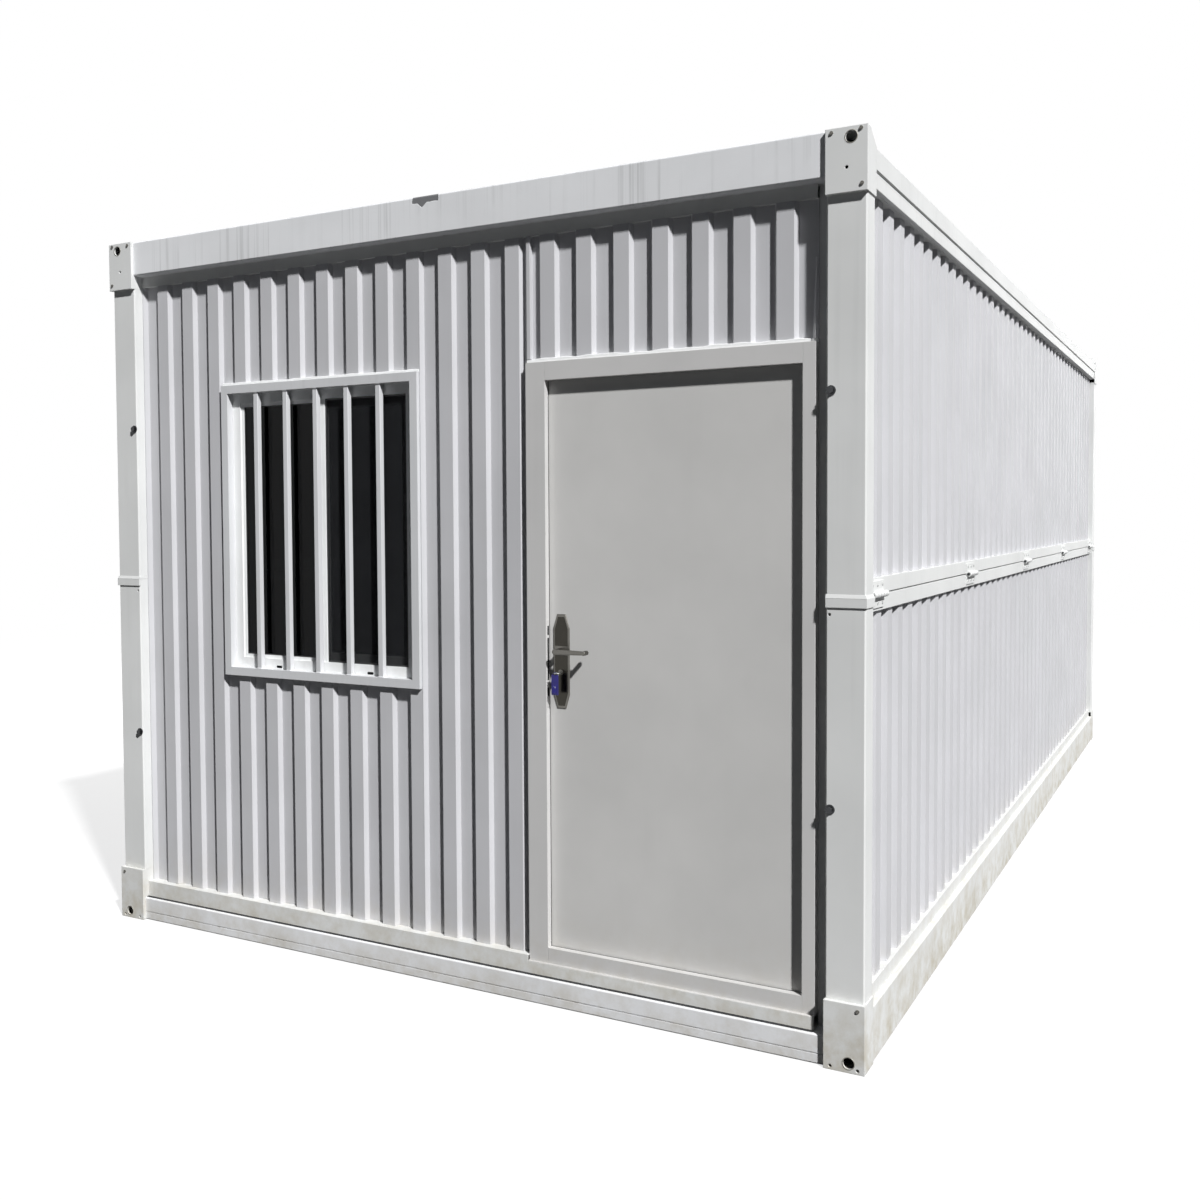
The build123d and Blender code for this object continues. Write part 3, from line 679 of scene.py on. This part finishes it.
class HOUSE_OT_window_fittings(bpy.types.Operator):
    """Makes the rubber round the panes, the drain slots in the track and the fly screen"""
    bl_idname = "house.window_fittings"
    bl_label = "Window fittings"

    def execute(self, context):
        window = context.scene.house_window
        rubber, wide, proud = bmesh.new(), window.gasket, 2.5 * MM
        for low, high in panes():
            for y0, y1 in ((low.y - proud, low.y), (high.y, high.y + proud)):
                add_frame(rubber, (low.x, y0, low.z), (high.x, y1, high.z), wide, 0.8 * MM)
        new_piece("window_gaskets", rubber, finish("rubber"))
        self.make_weep_slots(window)
        self.make_screen(window)
        return {"FINISHED"}

    def make_weep_slots(self, window):
        """Two rounded drain slots low in the track's face, drawn as near-black shapes: painted shade inside
        them.
        """
        slots = bmesh.new()
        low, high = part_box("window_frame")
        half_wide, half_high = window.weep_width / 2, window.weep_height / 2
        # near-black discs and blocks: painted shade inside the drain slots
        for share in (0.27, 0.74):
            x, z = low.x + share * (high.x - low.x), low.z + window.guard_face + 8 * MM
            for side in SIDES:
                add_round(slots, (x + side * (half_wide - half_high), low.y, z), (0, 1, 0), half_high,
                          1.2 * MM, 20)
            add_block(slots, (x - half_wide + half_high, low.y - 0.6 * MM, z - half_high),
                      (x + half_wide - half_high, low.y + 0.6 * MM, z + half_high))
        new_piece("window_weep_slots", slots, finish("hole"))

    def make_screen(self, window):
        """A fly screen in the outer track, in front of the inner sash."""
        outer, inner = panes()
        sash_low, sash_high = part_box("window_sashes")
        left, right = inner[0].x + 0.5 * MM, sash_high.x
        y = (outer[0].y + outer[1].y) / 2 - 2 * MM
        mesh, rim = bmesh.new(), bmesh.new()
        bmesh.ops.create_grid(mesh, x_segments=2, y_segments=2, size=0.5)
        bmesh.ops.scale(mesh, vec=(right - left, sash_high.z - sash_low.z, 1), verts=mesh.verts)
        bmesh.ops.rotate(mesh, matrix=Matrix.Rotation(math.pi / 2, 3, "X"), verts=mesh.verts)
        bmesh.ops.translate(mesh, vec=((left + right) / 2, y, (sash_low.z + sash_high.z) / 2),
                            verts=mesh.verts)
        bmesh.ops.solidify(mesh, geom=mesh.faces[:], thickness=0.4 * MM)
        half = 3 * MM
        add_frame(rim, (left, y - half, sash_low.z), (right, y + half, sash_high.z), window.screen_rim,
                  0.8 * MM)
        new_piece("fly_screen", mesh, finish("screen"))
        new_piece("fly_screen_rim", rim, finish("rubber"))


def add_bolt(bm, spot, out, washer, head, height):
    """Adds a washer and a six-sided head with a domed rim on a face that looks along out."""
    spot, out = Vector(spot), Vector(out)
    add_round(bm, spot + out * 1.5 * MM, out, washer / 2, 3 * MM, 28, 0.7 * MM)
    add_round(bm, spot + out * (3 * MM + height / 2), out, head / 2, height, 6, 1.6 * MM)


class HOUSE_OT_frame_bolts(bpy.types.Operator):
    """Makes the bolts on the posts, and the bolts, worn rims and closing plates of the corner blocks, and the
    painted shade behind the blocks' bores
    """
    bl_idname = "house.frame_bolts"
    bl_label = "Frame bolts"

    def execute(self, context):
        bolts = context.scene.house_fasteners
        posts, blocks, rims = bmesh.new(), bmesh.new(), bmesh.new()
        block_marks = ((102, TOP - 12 * MM), (18, TOP - 9 * MM), (15, TOP - 160 * MM), (20, 183 * MM))
        for end in ENDS:
            out = Vector((0, end, 0))
            for side in SIDES:
                for z in (bolts.low_bolt, bolts.high_bolt):
                    add_bolt(posts, (side * (POST_INNER + bolts.inset), end * -POST_FACE, z), out,
                             bolts.washer, bolts.head, 9 * MM)
                for inset, z in block_marks:
                    add_bolt(blocks, (side * (HALF_WIDTH - inset * MM), end * -FRONT, z), out,
                             bolts.block_bolt, bolts.block_bolt * 0.7, 1.5 * MM)
        for mount in frame["record"]["mounts"]:
            if mount["kind"] == "bore":
                out = Vector(mount["axis"])
                spot = Vector(mount["pos_m"])
                spot.y = math.copysign(FRONT, out.y)
                add_ring(rims, spot, out, (bolts.bore + bolts.bore_rim) / 2, bolts.bore_rim / 2)
        new_piece("post_bolts", posts, finish("bolt_steel"))
        new_piece("block_bolts", blocks, finish("satin_steel"))
        new_piece("bore_rims", rims, finish("worn_steel"))
        self.make_bore_shade()
        self.make_caps()
        return {"FINISHED"}

    def make_caps(self):
        """Plates that close the sloped rear top of the roof's corner blocks."""
        caps = bmesh.new()
        caps_proud, slope_start, thickness = 0.2 * MM, 29 * MM, 6 * MM
        y0, z0 = FRONT + slope_start, TOP + caps_proud
        y1, z1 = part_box("roof_side_rails")[0].y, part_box("roof_side_rails")[1].z + caps_proud
        for end in ENDS:
            for side in SIDES:
                inner, outer = side * (POST_INNER + 0.5 * MM), side * (HALF_WIDTH - 0.5 * MM)
                caps.faces.new([caps.verts.new(corner) for corner in (
                    (inner, -end * y0, z0), (outer, -end * y0, z0),
                    (outer, -end * y1, z1), (inner, -end * y1, z1))])
        bmesh.ops.recalc_face_normals(caps, faces=caps.faces)
        thick = bmesh.ops.extrude_face_region(caps, geom=caps.faces[:])["geom"]
        bmesh.ops.translate(caps, vec=(0, 0, -thickness),
                            verts=[v for v in thick if isinstance(v, bmesh.types.BMVert)])
        new_piece("block_caps", caps, finish("painted_frame"))

    def make_bore_shade(self):
        """Near-black plates behind the corner blocks' bores: painted shade inside the hollow blocks."""
        bore_shade = bmesh.new()
        inner, outer = POST_INNER + 7 * MM, HALF_WIDTH - 7 * MM
        for z0, z1 in ((7 * MM, 193 * MM), (TOP - 173 * MM, TOP - 24 * MM)):
            for end in ENDS:
                near, far = sorted(end * (-FRONT - depth * MM) for depth in (50, 53))
                for x0, x1 in ((inner, outer), (-outer, -inner)):
                    add_block(bore_shade, (x0, near, z0), (x1, far, z1), 1 * MM)
        new_piece("block_bore_shade", bore_shade, finish("hole"))


class HOUSE_OT_wall_trim(bpy.types.Operator):
    """Makes the trim over the door and under the eaves, and the painted shade in the gaps at the end walls'
    feet
    """
    bl_idname = "house.wall_trim"
    bl_label = "Wall trim"

    def execute(self, context):
        door = context.scene.house_door
        jamb_low, jamb_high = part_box("door_jambs")
        sheet_low, sheet_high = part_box("door_head_sheet")
        bead = uneven_strip((jamb_low.x, RIB_FACE - 4 * MM, jamb_high.z - 1 * MM),
                            (jamb_high.x, RIB_FACE + 20 * MM, jamb_high.z + door.bead), 70, 0,
                            wavy_above(jamb_high.z + 2 * MM, 3.5 * MM), 2.5 * MM)
        new_piece("door_head_sealant", bead, finish("sealant"))
        lap = bmesh.new()
        add_block(lap, (jamb_low.x - 2 * MM, RIB_FACE - 1.5 * MM, sheet_low.z + door.bead),
                  (jamb_low.x + 12 * MM, RIB_FACE + 18 * MM, sheet_high.z), 0.7 * MM)
        new_piece("sheet_lap", lap, finish("ribbed_sheet"))
        self.make_bent_edge(sheet_low, sheet_high)
        self.make_eaves()
        self.make_foot_gap_shade(jamb_low, jamb_high)
        return {"FINISHED"}

    def make_foot_gap_shade(self, jamb_low, jamb_high):
        """Near-black strips at the joints under the end walls' foot rails, painted shade of the gap there,
        and the flashing in front of the door sill.
        """
        foot_low, foot_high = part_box("front_foot_rail")
        sill_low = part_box("door_sill")[0]
        joints, top = bmesh.new(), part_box("base_end_rails")[1].z
        for end, right in ((-1, foot_high.x), (1, POST_INNER)):
            y0, y1 = sorted(-end * (foot_low.y + depth * MM) for depth in (-9, 0.5))
            # near-black strips: painted shade of the gap over the base rail
            add_block(joints, (-POST_INNER, y0, top - 0.5 * MM), (right, y1, top + 3 * MM))
        new_piece("foot_gap_shade", joints, finish("rubber"))
        flashing = bmesh.new()
        add_block(flashing, (jamb_low.x, foot_low.y + 0.4 * MM, sill_low.z - 4 * MM),
                  (jamb_high.x, sill_low.y + 0.5 * MM, sill_low.z + 2 * MM), 2 * MM)
        new_piece("sill_flashing", flashing, finish("door_frame_paint"))

    def make_eaves(self):
        """A folded strip along each long side that hides the step under the roof rail."""
        low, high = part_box("roof_side_rails")
        wall_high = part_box("upper_wall_rails")[1]
        eaves = bmesh.new()
        for side in SIDES:
            x0, x1 = sorted((side * (wall_high.x - 1 * MM), side * (high.x - 5 * MM)))
            add_block(eaves, (x0, low.y, low.z - 46 * MM), (x1, high.y, low.z), 1.5 * MM)
        new_piece("eaves_strips", eaves, finish("painted_frame"))

    def make_bent_edge(self, sheet_low, sheet_high):
        """The lower end of the over-door sheet's free edge, bent out to the door frame's face."""
        edge = bmesh.new()
        right, low = sheet_high.x - 2 * MM, sheet_low.z + 8 * MM
        corners = [(right - 8 * MM, RIB_FACE - 10 * MM, low), (right, RIB_FACE - 13 * MM, low),
                   (right - 1 * MM, RIB_FACE + 6 * MM, low + 235 * MM),
                   (right - 6 * MM, RIB_FACE + 16 * MM, low + 235 * MM)]
        edge.faces.new([edge.verts.new(corner) for corner in corners])
        bmesh.ops.subdivide_edges(edge, edges=edge.edges[:], cuts=4, use_grid_fill=True)
        bmesh.ops.solidify(edge, geom=edge.faces[:], thickness=1 * MM)
        new_piece("bent_sheet_edge", edge, finish("ribbed_sheet"))


class HOUSE_OT_door_fittings(bpy.types.Operator):
    """Makes the door's rubber seal, the strike plate, the latch plate and the hinges' screws"""
    bl_idname = "house.door_fittings"
    bl_label = "Door fittings"

    def execute(self, context):
        door = context.scene.house_door
        clear_left, clear_right, clear_top = CLEAR_LOW.x, CLEAR_HIGH.x, CLEAR_LOW.z
        clear_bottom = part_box("door_sill")[1].z
        seal, back = bmesh.new(), LEAF_LOW.y - 0.2 * MM
        front, wide = back - door.seal_depth, door.seal
        add_frame(seal, (clear_left - wide, front, clear_bottom - wide),
                  (clear_right + wide, back, clear_top + wide), wide, 1.6 * MM)
        new_piece("door_seal", seal, finish("rubber"))
        self.make_strike(door, clear_left)
        self.make_latch()
        self.make_screws()
        return {"FINISHED"}

    def make_strike(self, door, clear_left):
        """A painted strike plate on the lock jamb with three slots, their insides drawn near-black as painted
        shade.
        """
        lock_low, lock_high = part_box("lock_plates")
        middle = (lock_low.z + lock_high.z) / 2 - 8 * MM
        y = CLEAR_LOW.y + 4 * MM
        plate, slots = bmesh.new(), bmesh.new()
        half = door.strike_height / 2
        add_block(plate, (clear_left - 0.2 * MM, y, middle - half),
                  (clear_left + 1.2 * MM, y + door.strike_width, middle + half), 0.5 * MM)
        # near-black blocks: painted shade inside the strike plate's slots
        for centre, tall in ((108, 30), (15, 138), (-92, 28)):
            z = middle + centre * MM
            add_block(slots, (clear_left + 0.8 * MM, y + 3 * MM, z - tall / 2 * MM),
                      (clear_left + 1.5 * MM, y + door.strike_width - 3 * MM, z + tall / 2 * MM), 0.3 * MM)
        new_piece("strike_plate", plate, finish("door_frame_paint"))
        new_piece("strike_slots", slots, finish("hole"))

    def make_latch(self):
        """The lock's face plate on the leaf's edge."""
        lock_low, lock_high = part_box("lock_plates")
        y = (LEAF_LOW.y + LEAF_HIGH.y) / 2
        plate = bmesh.new()
        add_block(plate, (LEAF_LOW.x - 1 * MM, y - 12 * MM, lock_low.z + 30 * MM),
                  (LEAF_LOW.x + 1 * MM, y + 12 * MM, lock_high.z - 30 * MM), 0.5 * MM)
        new_piece("latch_plate", plate, finish("hinge_steel"), body="door")

    def make_screws(self):
        """Countersunk screws in the hinges' leaves on the inside."""
        leaf_low, leaf_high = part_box("door_leaf_hinges")
        jamb_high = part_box("door_frame_hinges")[1]
        half = 36 * MM
        heights = [leaf_low.z + 51 * MM, (leaf_low.z + leaf_high.z) / 2, leaf_high.z - 51 * MM]
        for name, x, body in (("leaf_hinge_screws", leaf_low.x + 8 * MM, "door"),
                              ("jamb_hinge_screws", jamb_high.x - 8 * MM, "house")):
            screws = bmesh.new()
            for z in heights:
                for rise in (-half, 0, half):
                    add_round(screws, (x, LEAF_HIGH.y + 3.2 * MM, z + rise), (0, 1, 0), 4 * MM, 1.2 * MM, 20,
                              0.4 * MM)
            new_piece(name, screws, finish("hinge_steel"), body=body)


class HOUSE_OT_key(bpy.types.Operator):
    """Makes the key in its cylinder with a ring and a tag, and the levers' turned ends"""
    bl_idname = "house.key"
    bl_label = "Key and tag"

    def execute(self, context):
        key, door = context.scene.house_key, context.scene.house_door
        plate_low, plate_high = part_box("lock_plates")
        x, z = (plate_low.x + plate_high.x) / 2, LOCK_AXIS.z - 70 * MM
        face = plate_low.y
        bow, half = bmesh.new(), key.bow / 2
        add_block(bow, (x - 4 * MM, face - 12 * MM, z - 1.2 * MM),
                  (x + 4 * MM, face + 3 * MM, z + 1.2 * MM), 0.5 * MM)
        add_round(bow, (x, face - 12 * MM - half * 0.8, z), (0, 0, 1), half, 2.4 * MM, 24, 0.7 * MM)
        new_piece("lock_key", bow, finish("hinge_steel"), body="door")
        hang = Vector((x - 4 * MM, face - 20 * MM, z))
        ring = bmesh.new()
        add_ring(ring, hang - Vector((0, 0, key.ring / 2 - 2 * MM)), (0.35, 1, 0), key.ring / 2, key.wire / 2)
        new_piece("key_ring", ring, finish("hinge_steel"), body="door")
        self.make_tag(key, hang + Vector((-2 * MM, -7 * MM, -5 * MM)))
        self.make_returns(door)
        self.make_panels(x, plate_low, plate_high)
        return {"FINISHED"}

    def make_panels(self, x, plate_low, plate_high):
        """Raised dark panels above and below the lever on both lock plates."""
        panels = bmesh.new()
        for face, out in ((LEAF_LOW.y - 3 * MM, -1), (LEAF_HIGH.y + 3 * MM, 1)):
            for z0, z1, tip in ((LOCK_AXIS.z + 15 * MM, plate_high.z - 9 * MM, 1),
                                (plate_low.z + 9 * MM, LOCK_AXIS.z - 15 * MM, -1)):
                panel = bmesh.new()
                y0, y1 = sorted((face + out * 1.6 * MM, face - out * 0.5 * MM))
                add_block(panel, (x - 23 * MM, y0, z0), (x + 23 * MM, y1, z1))
                end = z1 if tip > 0 else z0
                bmesh.ops.bisect_plane(panel, geom=panel.verts[:] + panel.edges[:] + panel.faces[:],
                                       plane_co=(x, y0, end - tip * 40 * MM), plane_no=(0, 0, 1))
                bmesh.ops.scale(panel, vec=(0.5, 1, 1), space=Matrix.Translation((-x, 0, 0)),
                                verts=[v for v in panel.verts if abs(v.co.z - end) < 1 * MM])
                rim = [e for e in panel.edges if e.is_manifold and e.calc_face_angle() > 0.1
                       and all((v.co.y - (y0 + y1) / 2) * out > 0 for v in e.verts)]
                round_edges(panel, rim, 1.2 * MM)
                mesh = bpy.data.meshes.new("panel")
                panel.to_mesh(mesh)
                panel.free()
                panels.from_mesh(mesh)
                bpy.data.meshes.remove(mesh)
        new_piece("lock_plate_panels", panels, finish("lock_steel"), body="door")

    def make_tag(self, key, top):
        """A moulded tag with a raised rim, an eye and a blank window."""
        tag, half = bmesh.new(), key.tag_width / 2
        thick = key.tag_thickness / 2
        add_block(tag, (top.x - half, top.y - thick, top.z - key.tag_height),
                  (top.x + half, top.y + thick, top.z), 2.2 * MM, 3)
        add_ring(tag, top + Vector((0, 0, 1 * MM)), (0, 1, 0), 5 * MM, 1.6 * MM)
        for side in SIDES:
            add_block(tag, (top.x + side * (half - 2 * MM) - 1.2 * MM, top.y - thick - 0.8 * MM,
                            top.z - key.tag_height + 4 * MM),
                      (top.x + side * (half - 2 * MM) + 1.2 * MM, top.y, top.z - 10 * MM), 0.5 * MM)
        new_piece("key_tag", tag, finish("tag"), body="door")
        card = bmesh.new()
        add_block(card, (top.x - half + 4.5 * MM, top.y - thick - 0.4 * MM, top.z - key.tag_height + 7 * MM),
                  (top.x + half - 4.5 * MM, top.y, top.z - 34 * MM), 0.3 * MM)
        new_piece("tag_card", card, finish("card"), body="door")

    def make_returns(self, door):
        """The ends of both levers, turned back towards the leaf."""
        ends, radius, half = bmesh.new(), 7.5 * MM, door.lever_return / 2
        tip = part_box("door_lever")[1].x - radius
        for face, out in ((LEAF_LOW.y, -1), (LEAF_HIGH.y, 1)):
            add_round(ends, (tip, face + out * (door.lever_reach + half), LOCK_AXIS.z), (0, 1, 0), radius,
                      door.lever_return, 24, 2.5 * MM)
        new_piece("lever_returns", ends, finish("satin_steel"), body="lever")


class HOUSE_OT_fold_fittings(bpy.types.Operator):
    """Makes the painted shade between the fold hinges' knuckles, their pin ends and leaf screws, and the
    skirts over the posts' folds
    """
    bl_idname = "house.fold_fittings"
    bl_label = "Fold hinge fittings"

    def execute(self, context):
        low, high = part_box("fold_hinges")
        half, radius, count = 75 * MM, 10 * MM, 5
        fold = (low.z + high.z) / 2
        leaf = high.x - 2 * radius + 4 * MM
        along = Vector((0, 1, 0))
        gaps, pins, screws = bmesh.new(), bmesh.new(), bmesh.new()
        for n in range(count):
            y = low.y + half + n * (high.y - low.y - 2 * half) / (count - 1)
            for side in SIDES:
                axis = Vector((side * (high.x - radius), y, fold))
                # near-black discs: painted shade between the knuckles
                for at in (-45, -15, 15, 45):
                    add_round(gaps, axis + along * at * MM, along, radius + 0.15 * MM, 1.4 * MM, 28)
                for end in ENDS:
                    add_round(pins, axis + along * end * (half + 1 * MM), along, 6 * MM, 4 * MM, 20,
                              1.2 * MM)
                for at in (-55, 0, 55):
                    for rise in (-27, 27):
                        add_round(screws, (side * (leaf + 0.6 * MM), y + at * MM, fold + rise * MM),
                                  (side, 0, 0), 5 * MM, 2.4 * MM, 20, 0.8 * MM)
        new_piece("fold_hinge_gaps", gaps, finish("hole"))
        new_piece("fold_hinge_pins", pins, finish("bolt_steel"))
        new_piece("fold_hinge_screws", screws, finish("hinge_steel"))
        self.make_skirts()
        return {"FINISHED"}

    def make_skirts(self):
        """Sloped skirts at the upper posts' feet that shed rain over the fold."""
        skirts, slope = bmesh.new(), 4.1 * MM
        front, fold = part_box("lower_posts")[0].y - 0.2 * MM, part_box("lower_posts")[1].z
        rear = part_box("roof_side_rails")[0].y
        for end in ENDS:
            y0, y1 = sorted((-end * front, -end * rear))
            for side in SIDES:
                x0, x1 = sorted((side * (POST_INNER - 0.4 * MM), side * (HALF_WIDTH - 0.1 * MM)))
                add_block(skirts, (x0, y0, fold - 1.5 * MM), (x1, y1, fold + 10 * MM))
        for v in skirts.verts:
            if v.co.z > fold:
                if abs(v.co.y) > -rear + 1 * MM:
                    v.co.y -= math.copysign(slope, v.co.y)
                if abs(v.co.x) > POST_INNER + 1 * MM:
                    v.co.x -= math.copysign(slope, v.co.x)
        new_piece("post_skirts", skirts, finish("painted_frame"))


class HOUSE_OT_stage(bpy.types.Operator):
    """Makes the pale floor, the soft lights, the white surroundings and the camera"""
    bl_idname = "house.stage"
    bl_label = "Stage"

    def execute(self, context):
        scene, stage = context.scene, context.scene.house_stage
        scene.view_settings.view_transform = "Standard"
        self.make_floor(stage)
        self.make_world(scene, stage)
        self.make_lights(stage)
        self.make_camera(scene, stage)
        return {"FINISHED"}

    def seen(self, tree):
        """1 for rays that show the surroundings in the picture, in a mirror or through glass."""
        path = node(tree, "ShaderNodeLightPath").outputs
        mirrored = node(tree, "ShaderNodeMath", {
            0: path["Is Glossy Ray"], 1: path["Is Transmission Ray"]}, operation="MAXIMUM").outputs[0]
        return node(tree, "ShaderNodeMath", {0: path["Is Camera Ray"], 1: mirrored},
                    operation="MAXIMUM").outputs[0]

    def make_floor(self, stage):
        """A wide pale floor: white in the picture with the house's soft shadow, darker as bounce light."""
        bm = bmesh.new()
        bmesh.ops.create_grid(bm, x_segments=1, y_segments=1, size=60.0)
        mesh = bpy.data.meshes.new("studio_floor")
        bm.to_mesh(mesh)
        bm.free()
        floor = bpy.data.objects.new("studio_floor", mesh)
        bpy.context.scene.collection.objects.link(floor)
        material, tree, place = start_material("Pale studio floor")
        white = node(tree, "ShaderNodeEmission", {"Color": (1, 1, 1, 1), "Strength": 1.0})
        shown = node(tree, "ShaderNodeBsdfDiffuse", {"Color": (0.95, 0.95, 0.95, 1)})
        bounce = node(tree, "ShaderNodeBsdfDiffuse", {"Color": tuple(stage.ground)})
        away = node(tree, "ShaderNodeVectorMath", {0: place}, operation="LENGTH").outputs["Value"]
        near = node(tree, "ShaderNodeMapRange", {"Value": away, 1: 4.0, 2: 14.0, 3: 0.28, 4: 0.0},
                    interpolation_type="SMOOTHSTEP").outputs[0]
        picture = node(tree, "ShaderNodeMixShader", {0: near, 1: white.outputs[0], 2: shown.outputs[0]})
        mixed = node(tree, "ShaderNodeMixShader", {
            0: self.seen(tree), 1: bounce.outputs[0], 2: picture.outputs[0]})
        node(tree, "ShaderNodeOutputMaterial", {"Surface": mixed.outputs[0]})
        mesh.materials.append(material)

    def make_world(self, scene, stage):
        """White in the picture and in mirrors, a plain dim sky as light."""
        scene.world = bpy.data.worlds.new("Studio surroundings")
        scene.world.use_nodes = True
        tree = scene.world.node_tree
        tree.nodes.clear()
        shown = node(tree, "ShaderNodeMix", {
            0: self.seen(tree), 6: tuple(stage.sky), 7: (1, 1, 1, 1)}, data_type="RGBA")
        light = node(tree, "ShaderNodeBackground", {"Color": shown.outputs[2], "Strength": 1.0})
        node(tree, "ShaderNodeOutputWorld", {"Surface": light.outputs[0]})

    def make_lights(self, stage):
        """A high key from the right, and wide panels for the left side and the rear."""
        lamps = (
            ("key_light", "SUN", (6, -6, 8), (-1.5, 1.0, -1.65), stage.sun, 0, 0),
            ("left_panel", "AREA", (-8, 2.5, 4), (1, 0, -0.3), 420, 9, 5),
            ("rear_panel", "AREA", (0, 10, 4), (0, -1, -0.3), 420, 9, 5),
        )
        for name, kind, place, towards, power, wide, high in lamps:
            data = bpy.data.lights.new(name, kind)
            data.energy = power
            if kind == "SUN":
                data.angle = math.radians(3.0)
            else:
                data.shape, data.size, data.size_y = "RECTANGLE", wide, high
            lamp = bpy.data.objects.new(name, data)
            lamp.location = place
            lamp.rotation_euler = Vector(towards).to_track_quat("-Z", "Y").to_euler()
            lamp.visible_camera = False
            bpy.context.scene.collection.objects.link(lamp)

    def make_camera(self, scene, stage):
        """The camera at the picture's viewing angle."""
        data = bpy.data.cameras.new("house_camera")
        data.sensor_width = 36.0
        data.lens = stage.lens
        data.shift_x, data.shift_y = stage.shift
        data.clip_end = 200.0
        camera = bpy.data.objects.new("house_camera", data)
        turn = (Matrix.Rotation(stage.heading, 4, "Z") @ Matrix.Rotation(math.pi / 2 - stage.pitch, 4, "X")
                @ Matrix.Rotation(stage.roll, 4, "Z"))
        camera.matrix_world = Matrix.Translation(stage.eye) @ turn
        scene.collection.objects.link(camera)
        scene.camera = camera


class HOUSE_PT_panel(bpy.types.Panel):
    """Lists the steps that dress the house"""
    bl_idname = "HOUSE_PT_panel"
    bl_label = "Folding house"
    bl_space_type = "VIEW_3D"
    bl_region_type = "UI"
    bl_category = "House"

    def draw(self, context):
        for group in SETTINGS:
            settings = getattr(context.scene, group)
            for name in settings.__annotations__:
                self.layout.prop(settings, name)
        for step in STEPS:
            self.layout.operator(step.bl_idname)


SETTINGS = {
    "house_finishes": FinishSettings, "house_window": WindowSettings,
    "house_fasteners": FastenerSettings, "house_door": DoorSettings, "house_key": KeySettings,
    "house_stage": StageSettings,
}
STEPS = (HOUSE_OT_finishes, HOUSE_OT_window_bars, HOUSE_OT_window_fittings, HOUSE_OT_frame_bolts,
         HOUSE_OT_wall_trim, HOUSE_OT_door_fittings, HOUSE_OT_key, HOUSE_OT_fold_fittings, HOUSE_OT_stage)
CLASSES = (*SETTINGS.values(), *STEPS, HOUSE_PT_panel)


def register():
    for cls in CLASSES:
        bpy.utils.register_class(cls)
    for name, group in SETTINGS.items():
        setattr(bpy.types.Scene, name, PointerProperty(type=group))


def unregister():
    for name in SETTINGS:
        delattr(bpy.types.Scene, name)
    for cls in reversed(CLASSES):
        bpy.utils.unregister_class(cls)


def main():
    """Dresses the house step by step."""
    register()
    for step in STEPS:
        getattr(bpy.ops.house, step.bl_idname.split(".")[1])()


if __name__ == "__main__":
    main()
